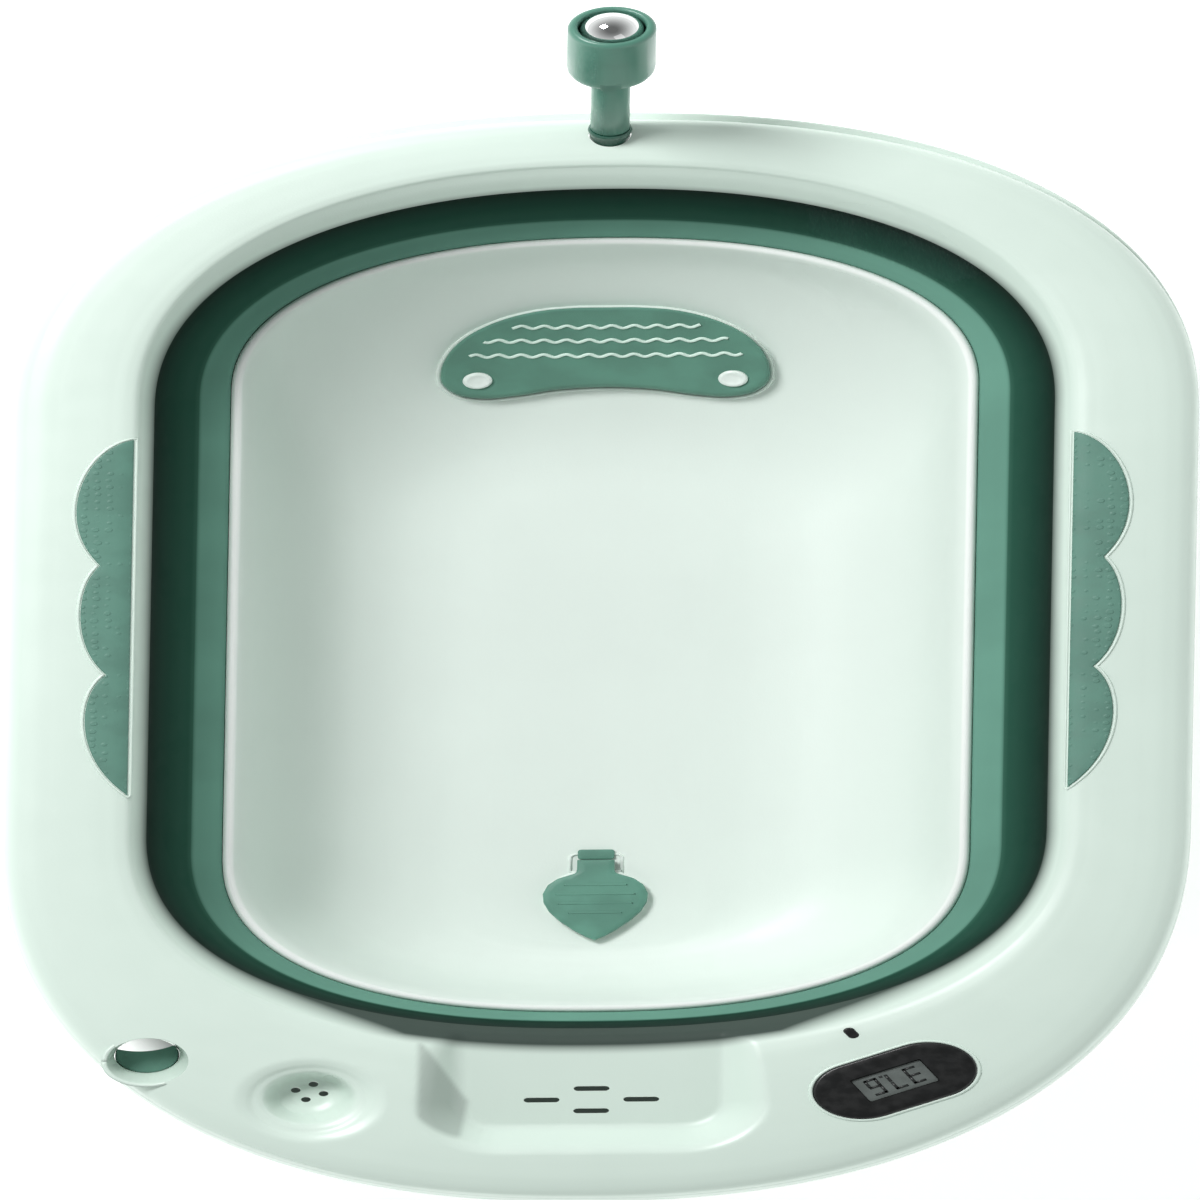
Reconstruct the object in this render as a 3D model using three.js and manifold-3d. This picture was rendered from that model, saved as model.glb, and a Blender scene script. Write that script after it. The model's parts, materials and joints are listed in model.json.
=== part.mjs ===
// Folding baby bathtub, unfolded and standing on its legs. Millimetres, +Z up, +Y towards the head end.
// A rigid rim, a soft folding wall and a deep base tray; four legs fold into the channel under the rim.
import * as THREE from "three";
import { mergeVertices } from "three/addons/utils/BufferGeometryUtils.js";
import Module from "manifold-3d";

const wasm = await Module();
wasm.setup();

// ---- driving dimensions ----
const RIM_TOP = 225;          // crown of the rim above the floor
const TUB_SHIFT_Y = -32.86;   // puts the middle of the whole length, stand included, over the origin
const GAP = 0.3;              // between pieces that touch
const SHELL = 3.5;            // wall thickness of the moulded shells
const ARC_STEPS = 24;         // points along each end of a ring

// Depths below the crown.
const RIM_EDGE_DEPTH = 16;    // lower edge of the rim's outer skirt
const RIM_BORE_DEPTH = 24;    // lower edge of the rim's inner wall
const SKIRT_DEPTH = 38;       // lower edge of the lower ring
const TRAY_EDGE_DEPTH = 88;   // lip of the base tray
const TRAY_FLOOR_DEPTH = 191; // inside of the tray's floor

// Rings seen from above: half width, the two ends, where the end curves start, and how full they are.
const OUTLINE = { half: 252.5, head: 404.5, foot: -410, yHead: 176, yFoot: -130, nHead: 2.3, nFoot: 2.25 };
const LIP_LINE = { half: 252.9, head: 410.5, foot: -410.5, yHead: 176, yFoot: -130, nHead: 2.3, nFoot: 2.25 };
const OPENING = { half: 198, head: 368, foot: -297, yHead: 190, yFoot: -130, nHead: 2.2, nFoot: 2.3 };
const BORE = { half: 191.5, head: 353.6, foot: -280.8, yHead: 190, yFoot: -130, nHead: 2.2, nFoot: 2.3 };
const TRAY_LINE = { half: 154, head: 318.5, foot: -256.5, yHead: 210, yFoot: -140, nHead: 2.2, nFoot: 2.35 };

// Crown of the rim from the outline (0) to the opening (1): [fraction, depth].
const CROWN = [[0, 12], [0.01, 8.5], [0.04, 5.2], [0.1, 2.6], [0.2, 1], [0.38, 0.1], [0.55, 0], [0.78, 0.5],
  [0.9, 1.4], [0.97, 2.9], [1, 5]];
// Inside of the tray: [in from the side, in from the head, in from the foot, depth].
const BOWL = [[0, 0, 0, 88], [3, 3, 3, 94], [7, 12, 7, 110], [12, 30, 12, 130], [19, 55, 18, 150],
  [31, 85, 25, 168], [46, 112, 33, 180], [64, 135, 42, 187], [84, 155, 50, 190], [110, 190, 58, 191]];

const LEG = { x: 218, width: 20, axisDepth: 24, headY: 250, footY: -205, eye: 9, pin: 3, pad: 6 };
const BRACKET = { depth: 9.2, plate: 3.4 };
const DRAIN = { y: -165, bore: 14, flange: 22, stem: 12.4, hingeY: -136 };
const STAND = {
  y: 393, lean: 27, stem: 8, stemLength: 80, pivot: 87, cup: 19, cupLength: 68, well: 21, bore: 14.6, ball: 14,
};
const SOCKET = { tube: 8.8, collar: 9.8, depth: 20, bore: 6.9 };
const CUSHION = { half: 71, top: 274, low: 211, sag: 8, thickness: 8, lift: 1.2, rows: 7, columns: 12 };
const SNAP = { x: 54.5, y: 224, radius: 6.4, peg: 2.6 };
const DISPLAY = { x: 129, y: -325, turn: 28.5, length: 74, width: 43 };
const NOTCH = { x: -189.4, y: -305.5, mouth: 17.5, floor: 14, rise: 7.5 };
const CUP = { x: -120, y: -336.3, mouth: 27.4, ledge: 19.3, floor: 11, depth: 22, drift: 9 };
const SOAP = { half: 76, foot: -375, inner: -262, radius: 30, slope: 18, brow: 1.7, tubDepth: 14, footDepth: 22 };
const PROBE = { x: 110, y: -288.5, length: 8.2, width: 3.8 };
const ABOVE = 6;              // how far the recess cutters stand above the crown

// ---- materials ----
function finish(color, roughness, metalness = 0) {
  return new THREE.MeshStandardMaterial({ color, roughness, metalness });
}
const mint = finish(0xd9e9df, 0.42);
const mintTray = finish(0xdceae2, 0.38);
const green = finish(0x5f8f7f, 0.6);
const greenWall = finish(0x4f8070, 0.5);
const greenCushion = finish(0x62937f, 0.65);
const greenStand = finish(0x5b9480, 0.35);
const white = finish(0xf2f7f4, 0.4);
const black = finish(0x16181a, 0.25);
const lcdGrey = finish(0x8b9490, 0.3);
const chrome = finish(0xd8dadd, 0.08, 1);
const steel = finish(0xb4b7ba, 0.3, 1);
const board = finish(0x2c6a45, 0.6);

// ---- solids ----
function toSolid(geometry) {
  const bare = geometry.clone();
  bare.deleteAttribute("normal");
  bare.deleteAttribute("uv");
  const merged = mergeVertices(bare, 1e-4);
  return new wasm.Manifold(new wasm.Mesh({
    numProp: 3,
    vertProperties: Float32Array.from(merged.attributes.position.array),
    triVerts: Uint32Array.from(merged.index.array),
  }));
}

function toGeometry(solid) {
  const mesh = solid.getMesh();
  const geometry = new THREE.BufferGeometry();
  geometry.setAttribute("position", new THREE.BufferAttribute(mesh.vertProperties, 3));
  geometry.setIndex(new THREE.BufferAttribute(mesh.triVerts, 1));
  geometry.computeVertexNormals();
  return geometry;
}

function signedVolume(points, faces) {
  const cross = new THREE.Vector3();
  let sum = 0;
  for (const [a, b, c] of faces) {
    sum += points[a].dot(cross.crossVectors(points[b], points[c]));
  }
  return sum / 6;
}

// Skins a stack of equally long point loops. A looped stack closes on itself, otherwise both ends are capped.
function loft(loops, looped = false) {
  const count = loops[0].length;
  const points = loops.flat();
  const faces = [];
  const bands = looped ? loops.length : loops.length - 1;
  for (let band = 0; band < bands; band += 1) {
    const low = band * count;
    const high = ((band + 1) % loops.length) * count;
    for (let k = 0; k < count; k += 1) {
      const next = (k + 1) % count;
      faces.push([low + k, low + next, high + next], [low + k, high + next, high + k]);
    }
  }
  if (!looped) {
    capLoop(points, faces, loops[0], 0, true);
    capLoop(points, faces, loops.at(-1), (loops.length - 1) * count, false);
  }
  const flip = signedVolume(points, faces) < 0;
  const order = flip ? faces.map(([a, b, c]) => [a, c, b]) : faces;
  const geometry = new THREE.BufferGeometry().setFromPoints(points);
  geometry.setIndex(order.flat());
  return toSolid(geometry);
}

function capLoop(points, faces, loop, start, first) {
  const middle = new THREE.Vector3();
  loop.forEach((point) => middle.add(point));
  points.push(middle.divideScalar(loop.length));
  const centre = points.length - 1;
  loop.forEach((point, k) => {
    const next = start + ((k + 1) % loop.length);
    faces.push(first ? [centre, next, start + k] : [centre, start + k, next]);
  });
}

// ---- rings ----
const mix = (a, b, t) => a + (b - a) * t;

function blendRing(a, b, t) {
  return Object.fromEntries(Object.keys(a).map((key) => [key, mix(a[key], b[key], t)]));
}

function grow(ring, side, head = side, foot = side) {
  return { ...ring, half: ring.half + side, head: ring.head + head, foot: ring.foot - foot };
}

function ringLoop(ring, depth) {
  const loop = [];
  const ends = [[ring.yHead, ring.head, ring.nHead, 0], [ring.yFoot, ring.foot, ring.nFoot, Math.PI]];
  for (const [start, end, fullness, from] of ends) {
    for (let k = 0; k <= ARC_STEPS; k += 1) {
      const angle = from + (Math.PI * k) / ARC_STEPS;
      const across = Math.cos(angle);
      const along = Math.abs(Math.sin(angle));
      const x = ring.half * Math.sign(across) * Math.abs(across) ** (2 / fullness);
      const y = start + (end - start) * along ** (2 / fullness);
      loop.push(new THREE.Vector3(Math.abs(x) < 1e-6 ? 0 : x, y, RIM_TOP - depth));
    }
  }
  return loop;
}

// Below 1 inside the ring, above 1 outside it.
function ringReach(ring, x, y) {
  const across = Math.abs(x) / ring.half;
  if (y > ring.yHead) return across ** ring.nHead + ((y - ring.yHead) / (ring.head - ring.yHead)) ** ring.nHead;
  if (y < ring.yFoot) return across ** ring.nFoot + ((ring.yFoot - y) / (ring.yFoot - ring.foot)) ** ring.nFoot;
  return across;
}

// Depth at (x, y) of a surface made of nested rings, found by halving.
function nestedDepth(ringAt, depthAt, last, x, y) {
  let low = 0;
  let high = last;
  for (let step = 0; step < 30; step += 1) {
    const middle = (low + high) / 2;
    if (ringReach(ringAt(middle), x, y) < 1) low = middle;
    else high = middle;
  }
  return depthAt(low);
}

// Ring s of the tray's inside. Its end curves shorten as it narrows, so that the rings nest.
function bowlRing(s) {
  const k = Math.min(Math.floor(s), BOWL.length - 2);
  const [side, head, foot] = BOWL[k].map((value, i) => mix(value, BOWL[k + 1][i], s - k));
  const ring = grow(TRAY_LINE, -side, -head, -foot);
  const share = ring.half / TRAY_LINE.half;
  ring.yHead = ring.head - (TRAY_LINE.head - TRAY_LINE.yHead) * share;
  ring.yFoot = ring.foot + (TRAY_LINE.yFoot - TRAY_LINE.foot) * share;
  return ring;
}

function bowlDepth(s) {
  const k = Math.min(Math.floor(s), BOWL.length - 2);
  return mix(BOWL[k][3], BOWL[k + 1][3], s - k);
}

const trayDepth = (x, y) => nestedDepth(bowlRing, bowlDepth, BOWL.length - 1, x, y);

// ---- simple solids ----
function placed(geometry, x, y, z, axis = "z") {
  if (axis === "z") geometry.rotateX(Math.PI / 2);
  if (axis === "x") geometry.rotateZ(Math.PI / 2);
  return toSolid(geometry.translate(x, y, z));
}

// A round bar whose middle is at (x, y, z).
function bar(radius, length, x, y, z, axis = "z", sides = 24) {
  return placed(new THREE.CylinderGeometry(radius, radius, length, sides), x, y, z, axis);
}

function block(width, depth, height, x, y, z) {
  return toSolid(new THREE.BoxGeometry(width, depth, height).translate(x, y, z));
}

// A flat outline pushed up from low to high.
function prism(points, low, high) {
  const shape = new THREE.Shape(points.map(([x, y]) => new THREE.Vector2(x, y)));
  const geometry = new THREE.ExtrudeGeometry(shape, { depth: high - low, bevelEnabled: false });
  return toSolid(geometry.translate(0, 0, low));
}

// An outline in the YZ plane pushed along X, centred on x.
function sidePrism(points, x, width) {
  const shape = new THREE.Shape(points.map(([y, z]) => new THREE.Vector2(y, z)));
  const geometry = new THREE.ExtrudeGeometry(shape, { depth: width, bevelEnabled: false });
  const turn = new THREE.Matrix4().makeBasis(
    new THREE.Vector3(0, 1, 0), new THREE.Vector3(0, 0, 1), new THREE.Vector3(1, 0, 0));
  return toSolid(geometry.applyMatrix4(turn).translate(x - width / 2, 0, 0));
}

function circlePoints(x, y, radius, steps = 28) {
  return Array.from({ length: steps }, (_, k) => {
    const angle = (2 * Math.PI * k) / steps;
    return [x + radius * Math.cos(angle), y + radius * Math.sin(angle)];
  });
}

// A stadium of the given length and width, turned by degrees.
function stadiumPoints(x, y, length, width, degrees, steps = 10) {
  const turn = THREE.MathUtils.degToRad(degrees);
  const points = [];
  for (const side of [1, -1]) {
    for (let k = 0; k <= steps; k += 1) {
      const angle = -Math.PI / 2 + (Math.PI * k) / steps;
      const u = side * ((length - width) / 2 + (width / 2) * Math.cos(angle));
      const v = side * (width / 2) * Math.sin(angle);
      points.push([x + u * Math.cos(turn) - v * Math.sin(turn), y + u * Math.sin(turn) + v * Math.cos(turn)]);
    }
  }
  return points;
}

function circleLoop(x, y, radius, depth, steps = 32) {
  return circlePoints(x, y, radius, steps).map(([px, py]) => new THREE.Vector3(px, py, RIM_TOP - depth));
}

// ---- the rim ----
// The flange filled solid from the crown (raised by lift) down to depth bottom.
function flangeSolid(lift, bottom) {
  const loops = CROWN.map(([f, depth]) => ringLoop(blendRing(OUTLINE, OPENING, f), depth - lift));
  loops.push(ringLoop(blendRing(OPENING, BORE, 0.45), 12 - lift));
  loops.push(ringLoop(BORE, RIM_BORE_DEPTH));
  loops.push(ringLoop(BORE, bottom));
  loops.push(ringLoop(OUTLINE, bottom));
  return loft(loops, true);
}

function rimSkin() {
  const inner = grow(OUTLINE, -SHELL);
  const outer = grow(OPENING, SHELL);
  const loops = [ringLoop(OUTLINE, RIM_EDGE_DEPTH)];
  CROWN.forEach(([f, depth]) => loops.push(ringLoop(blendRing(OUTLINE, OPENING, f), depth)));
  loops.push(ringLoop(blendRing(OPENING, BORE, 0.45), 12));
  loops.push(ringLoop(BORE, RIM_BORE_DEPTH));
  loops.push(ringLoop(grow(BORE, SHELL), RIM_BORE_DEPTH));
  for (const [f, depth] of [[1, 10], [0.86, 5.6], [0.5, 4], [0.16, 5.4], [0, 11]]) {
    loops.push(ringLoop(blendRing(inner, outer, f), depth));
  }
  loops.push(ringLoop(inner, RIM_EDGE_DEPTH));
  return loft(loops, true);
}

// Soap tray: a bowl with sloping sides, open towards the tub. extra makes it thicker all round.
function soapBowl(extra) {
  const share = (y) => (SOAP.inner - y) / (SOAP.inner - SOAP.foot);
  const floorDepth = (y) => mix(SOAP.tubDepth, SOAP.footDepth, share(y)) + extra;
  const loops = [soapLoop(extra, () => -ABOVE), soapLoop(extra, () => SOAP.brow)];
  loops.push(soapLoop(extra - SOAP.slope, floorDepth));
  return loft(loops);
}

// Outline of the soap tray, moved outwards by spread, at the depth given for each y.
function soapLoop(spread, depthAt) {
  const half = SOAP.half + spread;
  const foot = SOAP.foot - spread;
  const radius = SOAP.radius + Math.min(spread, 0) * 0.6;
  const right = [[half, SOAP.inner]];
  for (let k = 0; k <= 7; k += 1) {
    const angle = (Math.PI / 2) * (k / 7);
    right.push([half - radius + radius * Math.cos(angle), foot + radius - radius * Math.sin(angle)]);
  }
  const left = right.map(([x, y]) => [-x, y]).reverse();
  return [...right, ...left].map(([x, y]) => new THREE.Vector3(x, y, RIM_TOP - depthAt(y)));
}

// Round recess whose floor drifts towards the tub as it goes down.
function cupBowl(extra) {
  const levels = [[CUP.mouth + 2, -ABOVE], [CUP.mouth, 0.4], [CUP.ledge + 2.6, 4.5], [CUP.ledge, 6], [CUP.floor + 4, 18],
    [CUP.floor, CUP.depth]];
  return loft(levels.map(([radius, depth]) => {
    const shift = (CUP.drift * Math.max(depth, 0)) / CUP.depth;
    return circleLoop(CUP.x, CUP.y + shift, radius + extra, depth + extra);
  }));
}

function notchBite(extra) {
  const levels = [[NOTCH.mouth + 1, -ABOVE, 0], [NOTCH.mouth, 1, 0], [NOTCH.floor, 20, NOTCH.rise],
    [NOTCH.floor, SKIRT_DEPTH + 4, NOTCH.rise]];
  return loft(levels.map(([radius, depth, rise]) => circleLoop(NOTCH.x, NOTCH.y + rise, radius + extra, depth)));
}

// Crescent on the tub's side of the notch.
function hoseClip() {
  const plug = prism(circlePoints(NOTCH.x, NOTCH.y + NOTCH.rise, NOTCH.floor - 0.4), RIM_TOP - 34, RIM_TOP - 22);
  return plug.subtract(prism(circlePoints(NOTCH.x - 3, NOTCH.y + 28, 25, 40), 0, RIM_TOP));
}

// Moves every edge of an outline outwards by spread.
function widened(points, spread) {
  const corners = points.map(([x, y]) => new THREE.Vector2(x, y));
  const way = Math.sign(THREE.ShapeUtils.area(corners));
  return corners.map((corner, k) => {
    const before = corner.clone().sub(corners[(k + corners.length - 1) % corners.length]).normalize();
    const after = corners[(k + 1) % corners.length].clone().sub(corner).normalize();
    const normalBefore = new THREE.Vector2(before.y, -before.x).multiplyScalar(way);
    const normalAfter = new THREE.Vector2(after.y, -after.x).multiplyScalar(way);
    const sum = normalBefore.clone().add(normalAfter);
    const reach = (2 * spread) / Math.max(sum.lengthSq(), 0.5);
    return [corner.x + sum.x * reach, corner.y + sum.y * reach];
  });
}

// Three scallops along the straight inner edge, on the side given by sign.
function gripPoints(sign) {
  const edge = 199.5;
  const stops = [[edge, 165], [213.8, 69.5], [210.4, -13], [edge, -105]];
  const handles = [[[221, 160], [235, 104]], [[224.5, 54], [225.5, 8]], [[223, -28], [224, -78]]];
  const points = [[sign * edge, stops[0][1]]];
  handles.forEach(([first, second], lobe) => {
    const from = stops[lobe];
    const to = stops[lobe + 1];
    for (let k = 1; k <= 10; k += 1) {
      const t = k / 10;
      const shares = [(1 - t) ** 3, 3 * t * (1 - t) ** 2, 3 * t ** 2 * (1 - t), t ** 3];
      const along = (axis) => shares[0] * from[axis] + shares[1] * first[axis] + shares[2] * second[axis]
        + shares[3] * to[axis];
      points.push([sign * along(0), along(1)]);
    }
  });
  return points;
}

function grip(sign) {
  const outline = prism(gripPoints(sign), RIM_TOP - 12, RIM_TOP + 6);
  return outline.intersect(flangeSolid(1, 60)).subtract(flangeSolid(-1.5, 60));
}

function slotSolids() {
  const slots = [[-21.2, -335.3], [0, -327], [21.2, -335.3], [0, -343.6]];
  return slots.map(([x, y]) => prism(stadiumPoints(x, y, 15.3, 3.8, 0, 5), RIM_TOP - 40, RIM_TOP));
}

function cupHoles() {
  const y = CUP.y + CUP.drift;
  const spots = [[-5.9, 1.5], [1.6, 5.8], [6, -1.3], [-1.5, -5.6]];
  return spots.map(([dx, dy]) => bar(2.1, 30, CUP.x + dx, y + dy, RIM_TOP - CUP.depth, "z", 12));
}

function rimShell() {
  const envelope = flangeSolid(0, 60);
  let rim = rimSkin();
  for (const lining of [soapBowl(SHELL), cupBowl(SHELL), notchBite(SHELL)]) {
    rim = rim.add(lining.intersect(envelope));
  }
  const cutters = [soapBowl(0), cupBowl(0), notchBite(0), ...slotSolids(), ...cupHoles()];
  cutters.push(prism(stadiumPoints(DISPLAY.x, DISPLAY.y, DISPLAY.length + 1, DISPLAY.width + 1, DISPLAY.turn),
    RIM_TOP - 30, RIM_TOP + 10));
  cutters.push(probeSolid(GAP, 12, RIM_TOP));
  for (const sign of [1, -1]) {
    cutters.push(prism(widened(gripPoints(sign), 0.6), RIM_TOP - 12, RIM_TOP + 6).subtract(flangeSolid(-1.8, 60)));
  }
  cutters.push(leaning(bar(SOCKET.tube + GAP, 60, 0, 0, 0)));
  cutters.push(block(700, 1000, 60, 0, 0, RIM_TOP - SKIRT_DEPTH - 30));
  return cutters.reduce((solid, cutter) => solid.subtract(cutter), rim);
}

function lowerRing() {
  const inner = grow(OUTLINE, -SHELL - 0.3);
  const ring = loft([ringLoop(LIP_LINE, SKIRT_DEPTH), ringLoop(LIP_LINE, RIM_EDGE_DEPTH + 2.4),
    ringLoop(grow(LIP_LINE, -1.4), RIM_EDGE_DEPTH + GAP), ringLoop(inner, RIM_EDGE_DEPTH + GAP),
    ringLoop(inner, SKIRT_DEPTH)], true);
  return ring.subtract(notchBite(SHELL + 0.4));
}

function clampRing(ring, from, to, depth, height) {
  return loft([ringLoop(grow(ring, from), depth), ringLoop(grow(ring, to), depth),
    ringLoop(grow(ring, to), depth + height), ringLoop(grow(ring, from), depth + height)], true);
}

// ---- the folding wall ----
function foldingWall() {
  const step = (f, depth, out = 0) => ringLoop(grow(blendRing(BORE, grow(TRAY_LINE, 5.3), f), out), depth);
  const top = RIM_BORE_DEPTH + GAP;
  const bottom = TRAY_EDGE_DEPTH + 3.6;
  return loft([
    step(0, top), step(0.07, 31), step(0.27, 52), step(0.47, 72), step(0.56, 78), step(0.8, 83), step(1, 88.4),
    step(1, bottom), ringLoop(grow(TRAY_LINE, 1), bottom), ringLoop(grow(TRAY_LINE, 1), bottom + 3),
    ringLoop(grow(TRAY_LINE, 8.6), bottom + 3), step(0.8, 86.2, 0.6), step(0.56, 81.4, 1.4),
    step(0.44, 74, 3), step(0.26, 53, 3), step(0.08, 34, 3), step(0, top + 3, 3.2),
    ringLoop(grow(BORE, 9), top + 3), ringLoop(grow(BORE, 9), top),
  ], true);
}

// ---- the base tray ----
function baseTray() {
  const lip = TRAY_EDGE_DEPTH;
  const inside = BOWL.map((_, k) => ringLoop(bowlRing(k), bowlDepth(k)));
  const outside = [];
  for (const k of [8, 7, 6, 5, 4, 3, 2]) {
    outside.push(ringLoop(grow(bowlRing(k), 2.4, 0.6, 2.4), bowlDepth(k) + 4));
  }
  outside.push(ringLoop(grow(TRAY_LINE, 0.6), lip + 8), ringLoop(grow(TRAY_LINE, 0.6), lip + 3.3));
  outside.push(ringLoop(grow(TRAY_LINE, 5), lip + 3.3), ringLoop(grow(TRAY_LINE, 5), lip + 0.6));
  outside.push(ringLoop(grow(TRAY_LINE, 2.5), lip - 0.6));
  const tray = loft([...outside, ...inside]);
  return tray.subtract(bar(DRAIN.bore + 3.5, 40, 0, DRAIN.y, RIM_TOP - TRAY_FLOOR_DEPTH));
}

// ---- headrest cushion: a pad of even thickness lying on the sloping head end ----
function cushionGrid(raise) {
  const rows = [];
  for (let row = 0; row <= CUSHION.rows; row += 1) {
    const v = row / CUSHION.rows;
    const points = [];
    for (let column = 0; column <= CUSHION.columns; column += 1) {
      const u = (2 * column) / CUSHION.columns - 1;
      const x = u * CUSHION.half * (1 - 0.42 * v ** 3.2);
      const low = CUSHION.low + CUSHION.sag * Math.cos((Math.PI * u) / 2) + 6 * u ** 6;
      const y = mix(low, CUSHION.top - 14 * u ** 4, v);
      points.push(new THREE.Vector3(x, y, RIM_TOP - trayDepth(x, y) + raise));
    }
    rows.push(points);
  }
  return rows;
}

function gridSolid(under, over) {
  const across = under[0].length;
  const points = [...under.flat(), ...over.flat()];
  const offset = points.length / 2;
  const faces = [];
  const quad = (a, b, c, d) => faces.push([a, b, c], [a, c, d]);
  for (let r = 0; r < under.length - 1; r += 1) {
    for (let c = 0; c < across - 1; c += 1) {
      const a = r * across + c;
      quad(a, a + across, a + across + 1, a + 1);
      quad(offset + a, offset + a + 1, offset + a + across + 1, offset + a + across);
    }
  }
  const edge = [];
  for (let c = 0; c < across - 1; c += 1) edge.push([c, c + 1]);
  for (let r = 0; r < under.length - 1; r += 1) edge.push([(r + 1) * across - 1, (r + 2) * across - 1]);
  const last = (under.length - 1) * across;
  for (let c = across - 1; c > 0; c -= 1) edge.push([last + c, last + c - 1]);
  for (let r = under.length - 1; r > 0; r -= 1) edge.push([r * across, (r - 1) * across]);
  edge.forEach(([a, b]) => quad(a, b, offset + b, offset + a));
  const geometry = new THREE.BufferGeometry().setFromPoints(points);
  geometry.setIndex(faces.flat());
  return toSolid(geometry);
}

function cushionPad() {
  const lift = CUSHION.lift / Math.cos(Math.PI / 6);
  const pad = gridSolid(cushionGrid(lift), cushionGrid(lift + CUSHION.thickness));
  return [1, -1].reduce((solid, sign) => solid.subtract(snapPlaced(sign, bar(SNAP.peg + GAP, 40, 0, 0, 0))), pad);
}

function snapPlaced(sign, solid) {
  const depth = trayDepth(SNAP.x, SNAP.y);
  const steep = Math.atan2(trayDepth(SNAP.x, SNAP.y - 4) - trayDepth(SNAP.x, SNAP.y + 4), 8);
  const aside = Math.atan2(trayDepth(SNAP.x - 4, SNAP.y) - trayDepth(SNAP.x + 4, SNAP.y), 8);
  return solid.rotate([(steep * 180) / Math.PI, (-sign * aside * 180) / Math.PI, 0])
    .translate([sign * SNAP.x, SNAP.y, RIM_TOP - depth]);
}

function cushionSnap(sign) {
  const top = CUSHION.lift + CUSHION.thickness + 1.4;
  const head = bar(SNAP.radius, 2.4, 0, 0, top + 1.2);
  const peg = bar(SNAP.peg, 6, 0, 0, top - 2.6);
  return snapPlaced(sign, head.add(peg));
}

// ---- drain ----
const floorTop = RIM_TOP - TRAY_FLOOR_DEPTH;

function drainSeat() {
  const flange = bar(DRAIN.flange, 1.6, 0, DRAIN.y, floorTop + GAP + 0.8);
  const sleeve = bar(DRAIN.bore + 3, 14, 0, DRAIN.y, floorTop + GAP - 6.2);
  return flange.add(sleeve).subtract(bar(DRAIN.bore, 40, 0, DRAIN.y, floorTop));
}

function drainNut() {
  const z = floorTop - 9.6;
  return bar(DRAIN.flange, 4, 0, DRAIN.y, z, "z", 6).subtract(bar(DRAIN.bore + 3 + GAP, 10, 0, DRAIN.y, z));
}

// Leaf-shaped flap with its point towards the foot end, and the stopper under it.
function drainPlug() {
  const low = floorTop + GAP + 1.6 + GAP;
  const leaf = [[-8, 29], [8, 29], [15, 20], [21.5, 10], [22.8, 0], [20.5, -9], [15, -16], [7, -23], [0, -32],
    [-7, -23], [-15, -16], [-20.5, -9], [-22.8, 0], [-21.5, 10], [-15, 20]];
  const flap = prism(leaf.map(([x, y]) => [x, y + DRAIN.y]), low, low + 3.4);
  return flap.add(bar(DRAIN.stem, 9, 0, DRAIN.y, low - 4));
}

// Flat tongue that holds the flap; the flap turns about its lower edge.
function plugStrap() {
  const thickness = 1.7;
  return block(19, 11, thickness, 0, DRAIN.hingeY + 6.1, floorTop + GAP + thickness / 2);
}

// ---- thermometer ----
function thermometerPieces() {
  const { x, y, turn, length, width } = DISPLAY;
  const plate = (l, w, low, high) => prism(stadiumPoints(x, y, l, w, turn), RIM_TOP - low, RIM_TOP - high);
  const box = (l, w, low, high, shift = 0) => {
    const bent = THREE.MathUtils.degToRad(turn);
    const points = [[-1, -1], [1, -1], [1, 1], [-1, 1]].map(([u, v]) => {
      const du = (u * l) / 2 + shift;
      const dv = (v * w) / 2;
      return [x + du * Math.cos(bent) - dv * Math.sin(bent), y + du * Math.sin(bent) + dv * Math.cos(bent)];
    });
    return prism(points, RIM_TOP - low, RIM_TOP - high);
  };
  const bezel = plate(length, width, 6.5, -1.4).subtract(box(33.6, 18.6, 1.6, -4));
  const shell = plate(length - 3, width - 3, 30, 6.8);
  const hollow = plate(length - 8, width - 8, 27.5, 5);
  const hatch = box(30.6, 22.6, 32, 26);
  return {
    thermometer_bezel: bezel,
    thermometer_lcd: box(33, 18, 1.3, 0.2),
    thermometer_case: shell.subtract(hollow).subtract(hatch),
    thermometer_board: box(46, 24, 11, 9.4),
    thermometer_battery: bar(10, 3.2, x, y, RIM_TOP - 24.6),
    battery_cover: box(30, 22, 29.8, 27),
  };
}

// The probe, made wider all round by spread, from depth below the crown up to top.
function probeSolid(spread, depth, top) {
  const outline = stadiumPoints(PROBE.x, PROBE.y, PROBE.length + 2 * spread, PROBE.width + 2 * spread, 90, 5);
  return prism(outline, RIM_TOP - depth, top);
}

// ---- shower stand: built upright about its own axis, then leaned outwards ----
function leaning(solid) {
  return solid.rotate([-STAND.lean, 0, 0]).translate([0, STAND.y, RIM_TOP]);
}

function holderSocket() {
  const collar = bar(SOCKET.collar, 4, 0, 0, 6);
  const tube = bar(SOCKET.tube, SOCKET.depth + 4, 0, 0, 8 - (SOCKET.depth + 4) / 2);
  return leaning(collar.add(tube).subtract(bar(SOCKET.bore, 60, 0, 0, 0)));
}

function holderPost() {
  const foot = 8.4;
  const shoulder = STAND.stemLength - 10;
  const neck = STAND.stemLength - 2;
  const spigot = bar(SOCKET.bore - GAP, 20, 0, 0, foot - 9);
  const profile = [[0, foot], [STAND.stem, foot], [STAND.stem, shoulder], [5.5, neck], [0, neck]];
  const lathe = new THREE.LatheGeometry(profile.map(([r, z]) => new THREE.Vector2(r, z)), 24);
  const stem = toSolid(lathe.rotateX(Math.PI / 2));
  const tongue = block(8, 11, 15, 0, 0, neck + 6.5);
  const eye = bar(3, 30, 0, 0, STAND.pivot, "x", 16);
  return leaning(spigot.add(stem).add(tongue).subtract(eye));
}

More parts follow.
